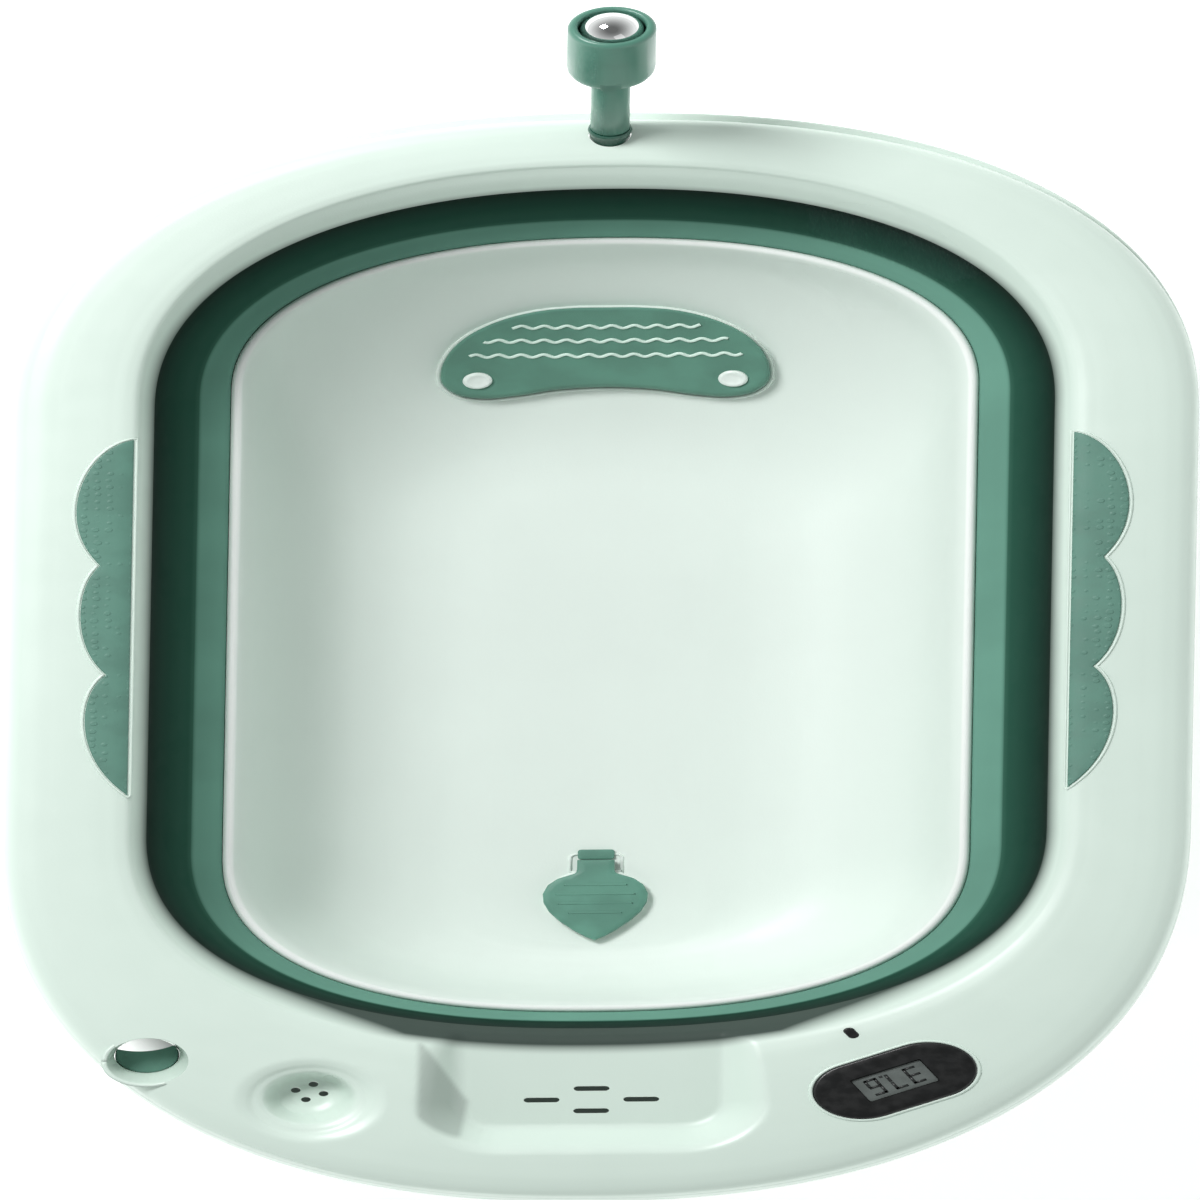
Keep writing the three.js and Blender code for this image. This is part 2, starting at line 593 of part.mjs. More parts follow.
function holderCup() {
  const low = STAND.stemLength + 1.4;
  const high = STAND.stemLength + STAND.cupLength;
  const profile = [[0, low], [STAND.cup - 7, low], [STAND.cup - 1.5, low + 5], [STAND.cup, low + 11],
    [STAND.cup, high - 2], [STAND.cup - 1.6, high], [STAND.bore + 1.4, high], [STAND.bore, high - 3],
    [STAND.bore, high - STAND.well], [0, high - STAND.well]];
  const lathe = new THREE.LatheGeometry(profile.map(([r, z]) => new THREE.Vector2(r, z)), 32);
  const body = toSolid(lathe.rotateX(Math.PI / 2));
  const slot = block(9, 60, 16, 0, 0, low + 5);
  const eye = bar(2.6, 60, 0, 0, STAND.pivot, "x", 16);
  return leaning(body.subtract(slot).subtract(eye));
}

function holderPin() {
  return leaning(bar(2.2, 26, 0, 0, STAND.pivot, "x", 16));
}

function holderBall() {
  const height = STAND.stemLength + STAND.cupLength - STAND.well + GAP + STAND.ball;
  const ball = new THREE.SphereGeometry(STAND.ball, 20, 12).rotateX(Math.PI / 2).translate(0, 0, height);
  return leaning(toSolid(ball));
}

// ---- legs ----
const legZ = RIM_TOP - LEG.axisDepth;

function legSolid(side, end) {
  const { eye, width } = LEG;
  const y = end > 0 ? LEG.headY : LEG.footY;
  const top = Array.from({ length: 9 }, (_, k) => {
    const angle = Math.PI * (k / 8);
    return [eye * Math.cos(angle), eye * Math.sin(angle)];
  });
  const shape = [...top, [-eye, -20], [-11, -legZ + LEG.pad + 30], [-12, -legZ + LEG.pad + GAP],
    [32, -legZ + LEG.pad + GAP], [26, -legZ + LEG.pad + 40], [14, -70]];
  const outline = shape.map(([a, z]) => [y + end * a, legZ + z]);
  const pocket = block(10.6, 9, 14.6, side * LEG.x, y + end * 9.5, legZ - 34);
  const body = sidePrism(outline, side * LEG.x, width);
  return body.subtract(bar(LEG.pin + 0.4, 40, side * LEG.x, y, legZ, "x", 16)).subtract(pocket);
}

function footPad(side, end) {
  const y = end > 0 ? LEG.headY : LEG.footY;
  const sole = [[-15, 0], [35, 0], [35, LEG.pad], [-15, LEG.pad]];
  return sidePrism(sole.map(([a, z]) => [y + end * a, z]), side * LEG.x, LEG.width + 6);
}

function lockButton(side, end) {
  const y = end > 0 ? LEG.headY : LEG.footY;
  return block(10, 7, 14, side * LEG.x, y + end * 12.4, legZ - 34);
}

function legBracket(side, end) {
  const y = end > 0 ? LEG.headY : LEG.footY;
  const baseZ = RIM_TOP - BRACKET.depth - BRACKET.plate / 2;
  const half = (LEG.width + 2) / 2;
  let bracket = block(2 * half + 4, 26, BRACKET.plate, side * LEG.x, y, baseZ);
  bracket = bracket.add(bar(4, BRACKET.depth - 5.6, side * LEG.x, y, RIM_TOP - (BRACKET.depth + 5.6) / 2, "z", 12));
  for (const ear of [-1, 1]) {
    bracket = bracket.add(block(4, 20, 23, side * LEG.x + ear * (half + 2), y, baseZ - 10));
  }
  return bracket.subtract(bar(LEG.pin + 0.4, 60, side * LEG.x, y, legZ, "x", 16));
}

function legPin(side, end) {
  const y = end > 0 ? LEG.headY : LEG.footY;
  return bar(LEG.pin, 30.4, side * LEG.x, y, legZ, "x", 16);
}

function bracketScrew(side, end) {
  const y = end > 0 ? LEG.headY : LEG.footY;
  return bar(2, 2.2, side * LEG.x, y + end * 10, RIM_TOP - BRACKET.depth - BRACKET.plate - 1.4, "z", 10);
}

// Six screws through the clamp ring, spread evenly round it.
function rimScrews() {
  const line = ringLoop(grow(BORE, 6.4), 0);
  const every = line.length / 6;
  return Array.from({ length: 6 }, (_, k) => {
    const point = line[Math.round((k + 0.5) * every)];
    return bar(2.2, 2, point.x, point.y, RIM_TOP - RIM_BORE_DEPTH - 9.2, "z", 10);
  });
}

// ---- assembly ----
const tub = new THREE.Group();
tub.position.y = TUB_SHIFT_Y;

function add(name, solid, material) {
  const mesh = new THREE.Mesh(toGeometry(solid), material);
  mesh.name = name;
  tub.add(mesh);
}

add("rim_shell", rimShell(), mint);
add("rim_lower_ring", lowerRing(), mint);
add("wall_clamp_ring", clampRing(BORE, 3.8, 9, RIM_BORE_DEPTH + 3.9, 4), mint);
add("folding_wall", foldingWall(), greenWall);
add("grip_right", grip(1), green);
add("grip_left", grip(-1), green);
add("base_tray", baseTray(), mintTray);
add("tray_clamp_ring", clampRing(TRAY_LINE, 2, 8.6, TRAY_EDGE_DEPTH + 7, 4), mint);

add("hose_clip", hoseClip(), green);

for (const [name, solid] of Object.entries(thermometerPieces())) {
  const look = { thermometer_bezel: black, thermometer_lcd: lcdGrey, thermometer_board: board,
    thermometer_battery: steel }[name] ?? white;
  add(name, solid, look);
}
add("thermometer_probe", probeSolid(0, 11, RIM_TOP - 0.2), black);

add("headrest_cushion", cushionPad(), greenCushion);
add("cushion_snap_right", cushionSnap(1), white);
add("cushion_snap_left", cushionSnap(-1), white);

add("drain_seat", drainSeat(), mintTray);
add("drain_nut", drainNut(), mintTray);
add("drain_plug", drainPlug(), green);
add("plug_strap", plugStrap(), green);

add("holder_socket", holderSocket(), greenStand);
add("holder_post", holderPost(), greenStand);
add("holder_cup", holderCup(), greenStand);
add("cup_pivot_pin", holderPin(), steel);
add("holder_ball", holderBall(), chrome);

for (const [endName, end] of [["head", 1], ["foot", -1]]) {
  for (const [sideName, side] of [["right", 1], ["left", -1]]) {
    const tail = `${endName}_${sideName}`;
    add(`leg_${tail}`, legSolid(side, end), mint);
    add(`foot_pad_${tail}`, footPad(side, end), green);
    add(`leg_lock_${tail}`, lockButton(side, end), green);
    add(`leg_bracket_${tail}`, legBracket(side, end), mint);
    add(`leg_pin_${tail}`, legPin(side, end), steel);
    add(`bracket_screw_${tail}`, bracketScrew(side, end), steel);
  }
}
rimScrews().forEach((screw, k) => add(`rim_screw_${k + 1}`, screw, steel));

const bathtub = new THREE.Group();
bathtub.add(tub);

export default bathtub;
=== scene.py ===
# Folding baby bathtub: the fine surfaces, materials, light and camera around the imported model.
# Shapes are made in the tub's own millimetres, like part.mjs, and put into the row frame in metres.
import json
import math

import bmesh
import bpy
import numpy as np
from mathutils import Matrix, Vector, geometry
from mathutils.bvhtree import BVHTree

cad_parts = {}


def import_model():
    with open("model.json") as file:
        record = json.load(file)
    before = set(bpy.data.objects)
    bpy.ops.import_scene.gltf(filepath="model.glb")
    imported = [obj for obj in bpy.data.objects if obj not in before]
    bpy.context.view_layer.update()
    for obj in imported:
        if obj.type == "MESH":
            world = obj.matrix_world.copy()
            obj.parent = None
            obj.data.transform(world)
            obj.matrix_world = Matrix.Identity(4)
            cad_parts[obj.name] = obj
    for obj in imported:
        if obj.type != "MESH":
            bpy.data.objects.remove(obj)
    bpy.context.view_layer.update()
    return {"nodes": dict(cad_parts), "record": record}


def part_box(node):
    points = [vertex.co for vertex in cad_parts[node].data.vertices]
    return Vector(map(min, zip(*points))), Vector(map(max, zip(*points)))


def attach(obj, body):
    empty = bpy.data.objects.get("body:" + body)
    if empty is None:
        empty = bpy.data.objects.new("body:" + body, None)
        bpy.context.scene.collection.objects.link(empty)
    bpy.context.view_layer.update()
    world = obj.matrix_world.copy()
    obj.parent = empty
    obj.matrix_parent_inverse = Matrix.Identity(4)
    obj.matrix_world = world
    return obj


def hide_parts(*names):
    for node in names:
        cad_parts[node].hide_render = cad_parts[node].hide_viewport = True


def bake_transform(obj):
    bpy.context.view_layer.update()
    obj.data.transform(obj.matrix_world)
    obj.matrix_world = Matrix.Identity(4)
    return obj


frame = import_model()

# ---- driving sizes, in millimetres ----
MM = 0.001
RIM_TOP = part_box("rim_shell")[1].z / MM
SHIFT_Y = sum(corner.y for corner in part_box("rim_lower_ring")) / 2 / MM
SHELL = 3.5
RIM_EDGE_DEPTH = 16
RIM_BORE_DEPTH = 24
SKIRT_DEPTH = 38
TRAY_EDGE_DEPTH = 88
TRAY_FLOOR_DEPTH = 191

OUTLINE = dict(half=252.5, head=404.5, foot=-410, yHead=176, yFoot=-130, nHead=2.3, nFoot=2.25)
LIP_LINE = dict(half=252.9, head=410.5, foot=-410.5, yHead=176, yFoot=-130, nHead=2.3, nFoot=2.25)
OPENING = dict(half=198, head=368, foot=-297, yHead=190, yFoot=-130, nHead=2.2, nFoot=2.3)
BORE = dict(half=191.5, head=353.6, foot=-280.8, yHead=190, yFoot=-130, nHead=2.2, nFoot=2.3)
TRAY_LINE = dict(half=154, head=318.5, foot=-256.5, yHead=210, yFoot=-140, nHead=2.2, nFoot=2.35)

# Inside of the tray: in from the side, in from the head, in from the foot, depth.
BOWL = [(0, 0, 0, 88), (3, 3, 3, 94), (7, 12, 7, 110), (12, 30, 12, 130), (19, 55, 18, 150),
        (31, 85, 25, 168), (46, 112, 33, 180), (64, 135, 42, 187), (84, 155, 50, 190), (110, 190, 58, 191)]
# Crown of the rim and its inner slope: share of the way from the outline (0) to the opening (1) and on
# to the bore (2), and the depth there.
CROWN = [(0, 12), (0.01, 8.5), (0.04, 5.2), (0.1, 2.6), (0.2, 1), (0.38, 0.1), (0.55, 0), (0.78, 0.5),
         (0.9, 1.4), (0.965, 2.9), (1, 5), (1.45, 12), (1.93, 22.4), (2, 24)]

LEG = dict(x=218, width=20, axis_depth=24, head_y=250, foot_y=-205, eye=9, pad=6)
DRAIN = dict(y=-165, bore=14, flange=22, stem=12.4, hinge_y=-136)
STAND = dict(y=393, lean=27, stem=8, length=80, cup=19, cup_length=68, well=21, bore=14.6, ball=14)
DISPLAY = dict(x=129, y=-325, turn=28.5, length=74, width=43)
NOTCH = dict(x=-189.4, y=-305.5, mouth=17.5, floor=14, rise=7.5)
CUP = dict(x=-120, y=-336.3)
SOAP = dict(half=76, foot=-375, inner=-262, radius=30, slope=19, inner_depth=9, foot_depth=21.5)
SNAP = dict(x=54.5, y=224, radius=6.4)
HEAD_STEPS, SIDE_STEPS, FOOT_STEPS = 300, 40, 520
SIDES = (("right", 1), ("left", -1))


# ---- meshes ----
def world(points):
    moved = np.array(points, float).reshape(-1, 3) + (0, SHIFT_Y, 0)
    return moved * MM


def new_object(name, data):
    thing = bpy.data.objects.new(name, data)
    bpy.context.scene.collection.objects.link(thing)
    return thing


def smooth_faces(mesh):
    mesh.polygons.foreach_set("use_smooth", np.ones(len(mesh.polygons), bool))


def new_mesh(name, points, faces):
    mesh = bpy.data.meshes.new(name)
    mesh.from_pydata(world(points).tolist(), [], faces)
    mesh.update()
    smooth_faces(mesh)
    return new_object(name, mesh)


def face_outwards(thing):
    work = bmesh.new()
    work.from_mesh(thing.data)
    bmesh.ops.recalc_face_normals(work, faces=work.faces)
    work.to_mesh(thing.data)
    work.free()


def grid_faces(rows, count, looped_rows):
    bands = rows if looped_rows else rows - 1
    low = (np.arange(bands)[:, None] * count + np.arange(count)[None, :]).ravel()
    low_next = (np.arange(bands)[:, None] * count + (np.arange(count)[None, :] + 1) % count).ravel()
    size = rows * count
    return np.stack([low, low_next, (low_next + count) % size, (low + count) % size], 1).tolist()


# Skins a stack of equally long closed loops; an open stack gets a flat face at each end.
def loft(name, loops, looped=False):
    count = len(loops[0])
    faces = grid_faces(len(loops), count, looped)
    if not looped:
        last = (len(loops) - 1) * count
        faces += [list(range(count)), list(range(last, last + count))]
    thing = new_mesh(name, np.concatenate(loops), faces)
    face_outwards(thing)
    return thing


def crease(thing, degrees):
    thing.data.set_sharp_from_angle(angle=math.radians(degrees))


def apply_modifiers(thing):
    graph = bpy.context.evaluated_depsgraph_get()
    bpy.context.view_layer.update()
    made = bpy.data.meshes.new_from_object(thing.evaluated_get(graph))
    thing.modifiers.clear()
    thing.data = made


def soften_edges(thing, width, limit):
    bevel = thing.modifiers.new("edges", "BEVEL")
    bevel.width = width * MM
    bevel.segments = 3
    bevel.limit_method = "ANGLE"
    bevel.angle_limit = math.radians(limit)


def rounded(thing, width, limit=35):
    soften_edges(thing, width, limit)
    apply_modifiers(thing)
    smooth_faces(thing.data)
    crease(thing, 50)
    return thing


def cut(thing, cutters, operation="DIFFERENCE"):
    for cutter in cutters:
        boolean = thing.modifiers.new("cut", "BOOLEAN")
        boolean.operation = operation
        boolean.object = cutter
        boolean.solver = "EXACT"
        apply_modifiers(thing)
        bpy.data.objects.remove(cutter)
    return thing


# ---- rings ----
def mix(a, b, t):
    return a + (b - a) * t


def blend_ring(a, b, t):
    return {key: mix(a[key], b[key], t) for key in a}


def grow(ring, side, head=None, foot=None):
    head = side if head is None else head
    foot = side if foot is None else foot
    return {**ring, "half": ring["half"] + side, "head": ring["head"] + head, "foot": ring["foot"] - foot}


def ring_loop(ring, depth, head=HEAD_STEPS, side=SIDE_STEPS, foot=FOOT_STEPS):
    parts = []
    for start, end, power, first, steps in ((ring["yHead"], ring["head"], ring["nHead"], 0, head),
                                            (ring["yFoot"], ring["foot"], ring["nFoot"], math.pi, foot)):
        angle = first + np.pi * np.arange(steps + 1) / steps
        across, along = np.cos(angle), np.abs(np.sin(angle))
        x = ring["half"] * np.sign(across) * np.abs(across) ** (2 / power)
        parts.append(np.stack([x, start + (end - start) * along ** (2 / power)], 1))
        share = (np.arange(side) + 1) / (side + 1)
        ends = (ring["yHead"], ring["yFoot"]) if first == 0 else (ring["yFoot"], ring["yHead"])
        edge = -ring["half"] if first == 0 else ring["half"]
        parts.append(np.stack([np.full(side, edge), mix(*ends, share)], 1))
    flat = np.concatenate(parts)
    return np.column_stack([flat, np.broadcast_to(RIM_TOP - np.asarray(depth), len(flat))])


# Below 1 inside the ring, above 1 outside it.
def ring_reach(ring, x, y):
    across = np.abs(x) / ring["half"]
    head = np.clip((y - ring["yHead"]) / (ring["head"] - ring["yHead"]), 0, None)
    foot = np.clip((ring["yFoot"] - y) / (ring["yFoot"] - ring["foot"]), 0, None)
    power = np.where(y < ring["yFoot"], ring["nFoot"], ring["nHead"])
    return across ** power + np.where(y < ring["yFoot"], foot, head) ** power


# A smooth curve through stops, sampled at the shares of its length given by places.
def smooth_through(stops, places, closed=False):
    stops = np.array(stops, float)
    if closed:
        stops = np.vstack([stops, stops[:1]])
    steps = np.linalg.norm(np.diff(stops, axis=0), axis=1)
    t = np.concatenate([[0], np.cumsum(steps)])
    slopes = np.zeros_like(stops)
    secants = np.diff(stops, axis=0) / steps[:, None]
    weight = (steps[:-1] / (steps[:-1] + steps[1:]))[:, None]
    slopes[1:-1] = secants[:-1] * (1 - weight) + secants[1:] * weight
    slopes[0], slopes[-1] = secants[0], secants[-1]
    if closed:
        slopes[0] = slopes[-1] = (secants[0] + secants[-1]) / 2
    at = np.asarray(places) * t[-1]
    k = np.clip(np.searchsorted(t, at, side="right") - 1, 0, len(steps) - 1)
    h = steps[k][:, None]
    u = ((at - t[k]) / steps[k])[:, None]
    return ((2 * u ** 3 - 3 * u ** 2 + 1) * stops[k] + (u ** 3 - 2 * u ** 2 + u) * h * slopes[k]
            + (3 * u ** 2 - 2 * u ** 3) * stops[k + 1] + (u ** 3 - u ** 2) * h * slopes[k + 1])


# ---- the rim ----
CROWN_WIDTH = 60
SLOPE_WIDTH = 16


def crown_ring(share):
    if share <= 1:
        return blend_ring(OUTLINE, OPENING, share)
    return blend_ring(OPENING, BORE, share - 1)


def smooth_max(a, b, reach):
    near = np.clip(reach - np.abs(a - b), 0, None) / reach
    return np.maximum(a, b) + near ** 2 * reach / 4


# Depth of the soap tray's surface at (x, y); it keeps rising outside the tray.
def soap_depth(x, y):
    share = np.clip((SOAP["inner"] - y) / (SOAP["inner"] - SOAP["foot"]), 0, 1.4)
    floor = mix(SOAP["inner_depth"], SOAP["foot_depth"], share)
    radius = SOAP["radius"] - SOAP["slope"] * 0.6
    out_x = np.abs(x) - (SOAP["half"] - SOAP["slope"] - radius)
    out_y = (SOAP["foot"] + SOAP["slope"] + radius) - y
    beyond = np.hypot(np.clip(out_x, 0, None), np.clip(out_y, 0, None))
    away = beyond + np.minimum(np.maximum(out_x, out_y), 0)
    wall = (away - radius) * SOAP["foot_depth"] / SOAP["slope"]
    return floor - smooth_max(wall, np.zeros_like(wall), 4)


# Rings of the cup recess: radius, shift towards the tub, depth.
CUP_RINGS = [(34, -1, -5), (28.6, 0, 0), (26.6, 0.3, 1.6), (25, 0.8, 3.4), (21.6, 1.8, 4.6),
             (19.6, 2.4, 5.8), (17.6, 3.6, 10), (15.6, 4.8, 15), (13.6, 5.6, 18.8), (10, 6, 20.6),
             (0.01, 6, 21.4)]


def cup_depth(x, y):
    table = smooth_through(CUP_RINGS, np.linspace(0, 1, 120))
    low, high = np.zeros(x.shape), np.full(x.shape, len(table) - 1.0)
    places = np.arange(len(table))
    for _ in range(16):
        middle = (low + high) / 2
        radius, shift = (np.interp(middle, places, table[:, column]) for column in (0, 1))
        inside = np.hypot(x - CUP["x"], y - CUP["y"] - shift) < radius
        low, high = np.where(inside, middle, low), np.where(inside, high, middle)
    return np.interp(low, places, table[:, 2])


def sunk(loop, extra=0.0, reach=5.0):
    x, y = loop[:, 0], loop[:, 1]
    near = (y < -250) & (np.abs(x) < 190)
    depth = RIM_TOP - loop[:, 2]
    recess = smooth_max(soap_depth(x, y), cup_depth(x, y), 0.01) + extra
    loop[:, 2] = RIM_TOP - np.where(near, smooth_max(depth, recess, reach), depth)
    return loop


# The rows lie closer together where the walls of the cup recess are, from 0.24 to 0.46 of the way.
def crown_loops():
    stops = [(CROWN_WIDTH * min(f, 1) + SLOPE_WIDTH * max(f - 1, 0), depth) for f, depth in CROWN]
    places = np.concatenate([np.linspace(0, 0.24, 40, endpoint=False),
                             np.linspace(0.24, 0.46, 100, endpoint=False), np.linspace(0.46, 1, 80)])
    loops = []
    for across, depth in smooth_through(stops, places):
        share = across / CROWN_WIDTH if across <= CROWN_WIDTH else 1 + (across - CROWN_WIDTH) / SLOPE_WIDTH
        loops.append(ring_loop(crown_ring(min(max(share, 0), 2)), depth))
    return loops


def under_loops(rows):
    inner, outer, bore = grow(OUTLINE, -SHELL), grow(OPENING, SHELL), grow(BORE, SHELL)
    loops = [ring_loop(bore, RIM_BORE_DEPTH), ring_loop(blend_ring(outer, bore, 0.5), 17)]
    shares = [(1, 10), (0.86, 5.6), (0.5, 4), (0.16, 5.4), (0, 11)]
    stops = [(share * CROWN_WIDTH, depth) for share, depth in shares]
    for across, depth in smooth_through(stops, np.linspace(0, 1, rows)):
        loops.append(ring_loop(blend_ring(inner, outer, across / CROWN_WIDTH), depth))
    loops.append(ring_loop(inner, RIM_EDGE_DEPTH))
    return loops


def make_rim():
    top = [sunk(loop) for loop in crown_loops()]
    under = [sunk(loop, 3.2, 2.0) for loop in under_loops(46)]
    skirt = [ring_loop(OUTLINE, RIM_EDGE_DEPTH)]
    return loft("rim", skirt + top + under, looped=True)


def over(thing):
    """Height of a mesh's top surface at each (x, y), all in the tub's millimetres."""
    tree = BVHTree.FromObject(thing, bpy.context.evaluated_depsgraph_get())

    def height(x, y):
        spots = world(np.column_stack([x, y, np.full(len(x), RIM_TOP + 100)]))
        hits = [tree.ray_cast(Vector(spot), Vector((0, 0, -1)))[0] for spot in spots]
        return np.array([hit.z / MM if hit else RIM_TOP for hit in hits])

    return height


def laid(x, y, surface, lift=0.0):
    """Points at each (x, y), lifted a little off a surface."""
    return np.column_stack([x, y, surface(x, y) + lift])


# ---- outlines, flat patches that follow a surface, tubes and turned pieces ----
def ray(angle):
    return np.stack([np.cos(angle), np.sin(angle)], 1)


def circle(x, y, radius, steps=64):
    return (x, y) + radius * ray(2 * np.pi * np.arange(steps) / steps)


def stadium(x, y, length, width, degrees=0, steps=24):
    angle = -np.pi / 2 + np.pi * np.arange(steps + 1) / steps
    u = (length - width) / 2 + width / 2 * np.cos(angle)
    v = width / 2 * np.sin(angle)
    points = np.concatenate([np.stack([u, v], 1), np.stack([-u, -v], 1)])
    return turned(points, degrees) + (x, y)


def stadium_of(part, spread, steps=24):
    """The stadium of a part's driving sizes, made longer and wider by spread."""
    return stadium(part["x"], part["y"], part["length"] + spread, part["width"] + spread, part["turn"], steps)


def rectangle(x, y, length, width, degrees=0, radius=1.0, steps=5):
    corners = []
    for quarter, (sx, sy) in enumerate([(1, 1), (-1, 1), (-1, -1), (1, -1)]):
        angle = np.pi / 2 * (quarter + np.arange(steps + 1) / steps)
        middle = np.array([sx * (length / 2 - radius), sy * (width / 2 - radius)])
        corners.append(middle + radius * ray(angle))
    return turned(np.concatenate(corners), degrees) + (x, y)


def turned(points, degrees):
    c, s = math.cos(math.radians(degrees)), math.sin(math.radians(degrees))
    return points @ np.array([[c, s], [-s, c]])


def even(points, spacing):
    """The closed outline walked again in steps of about the given spacing."""
    closed = np.vstack([points, points[:1]])
    t = np.concatenate([[0], np.cumsum(np.linalg.norm(np.diff(closed, axis=0), axis=1))])
    at = np.linspace(0, t[-1], max(int(t[-1] / spacing), 12), endpoint=False)
    return np.stack([np.interp(at, t, closed[:, 0]), np.interp(at, t, closed[:, 1])], 1)


def moved_out(points, spread):
    """The closed outline, walked anticlockwise, with each point moved outwards."""
    before = points - np.roll(points, 1, axis=0)
    after = np.roll(points, -1, axis=0) - points
    before /= np.linalg.norm(before, axis=1)[:, None] + 1e-9
    after /= np.linalg.norm(after, axis=1)[:, None] + 1e-9
    normal = before + after
    normal = np.stack([normal[:, 1], -normal[:, 0]], 1)
    reach = 2 / np.clip((normal ** 2).sum(1), 1.0, None)
    return points + normal * reach[:, None] * spread


def anticlockwise(points):
    following = np.roll(points, -1, axis=0)
    area = (points[:, 0] * following[:, 1] - following[:, 0] * points[:, 1]).sum()
    return points if area > 0 else points[::-1]


def within(points, loop):
    x, y = points[:, 0][:, None], points[:, 1][:, None]
    ax, ay = loop[:, 0], loop[:, 1]
    bx, by = np.roll(ax, -1), np.roll(ay, -1)
    crosses = (ay > y) != (by > y)
    edge_x = ax + (y - ay) / np.where(by == ay, 1e-9, by - ay) * (bx - ax)
    return ((crosses & (x < edge_x)).sum(1) % 2).astype(bool)


def filled(loop, spacing):
    """Triangles over an outline: its own points first, then a grid of points inside it."""
    low, high = loop.min(0), loop.max(0)
    across, along = np.arange(low[0], high[0], spacing), np.arange(low[1], high[1], spacing)
    grid = np.stack(np.meshgrid(across, along), -1).reshape(-1, 2)
    grid = grid[within(grid, loop)]
    far = np.array([np.min(np.linalg.norm(loop - spot, axis=1)) > 0.7 * spacing for spot in grid], bool)
    points = np.vstack([loop, grid[far]]) if len(grid) else loop
    made = geometry.delaunay_2d_cdt([Vector(p) for p in points], [], [list(range(len(loop)))], 1, 1e-6)
    return np.array([tuple(v) for v in made[0]]), [list(face) for face in made[2]]


def patch(name, outline, surface, height=1.0, depth=3.0, edge=0.8, spacing=3.0, crown=None):
    """A slab with a rounded upper edge that lies on a surface; crown(x, y) raises its top further."""
    outline = anticlockwise(outline)
    count = len(outline)
    rise = crown or (lambda x, y: 0)
    top_loop = moved_out(outline, -edge)
    flat, faces = filled(top_loop, spacing)
    rows = []
    for inset, lift in [(0, -depth), (0, height - edge), (0.1, height - 0.56 * edge),
                        (0.3, height - 0.28 * edge), (0.62, height - 0.08 * edge)]:
        loop = moved_out(outline, -inset * edge)
        rows.append(laid(*loop.T, surface, lift))
    top = laid(*flat.T, surface, height)
    top[:, 2] += rise(*flat.T)
    points = np.concatenate([*rows, top])
    quads = grid_faces(len(rows) + 1, count, looped_rows=False)
    start = count * len(rows)
    lid = [[i + start for i in face] for face in faces]
    thing = new_mesh(name, points, quads + lid + [list(range(count))])
    face_outwards(thing)
    crease(thing, 60)
    return thing


def flat_at(level):
    return lambda x, y: np.full(len(x), float(level))


def frames_along(path, closed):
    path = np.array(path, float)
    ahead = np.roll(path, -1, axis=0) - np.roll(path, 1, axis=0)
    if not closed:
        ahead[0], ahead[-1] = path[1] - path[0], path[-1] - path[-2]
    ahead /= np.linalg.norm(ahead, axis=1)[:, None]
    side = np.cross(ahead, (0, 0, 1))
    side /= np.linalg.norm(side, axis=1)[:, None]
    return path, side, np.cross(side, ahead)


def bead(name, path, radius, closed=True, sides=10, squash=1.0):
    """A round bead along a path that stays nearly level."""
    path, side, up = frames_along(path, closed)
    angle = 2 * np.pi * np.arange(sides) / sides
    rings = path[:, None] + radius * (np.cos(angle)[None, :, None] * side[:, None]
                                      + squash * np.sin(angle)[None, :, None] * up[:, None])
    if not closed:
        start, end = mix(rings[:1], path[:1, None], 0.6), mix(rings[-1:], path[-1:, None], 0.6)
        rings = np.concatenate([start, rings, end])
    return loft(name, list(rings), looped=closed)


def level_loop(outline, height):
    return np.column_stack([outline, np.full(len(outline), float(height))])


def lathe(name, profile, steps=72, x=0.0, y=0.0, ring=False):
    """A profile of (radius, height) turned about an upright axis: from axis to axis, or closed for a ring."""
    loops = [level_loop(circle(x, y, max(radius, 0.02), steps), height) for radius, height in profile]
    return loft(name, loops, looped=ring)


def prism(name, outline, low, high):
    return loft(name, [level_loop(outline, height) for height in (low, high)])


# ---- materials ----
def linear(red, green, blue):
    channels = [value / 255 for value in (red, green, blue)]
    return tuple(c / 12.92 if c <= 0.04045 else ((c + 0.055) / 1.055) ** 2.4 for c in channels) + (1.0,)


SOCKETS = {"specular_ior_level": "Specular IOR Level"}


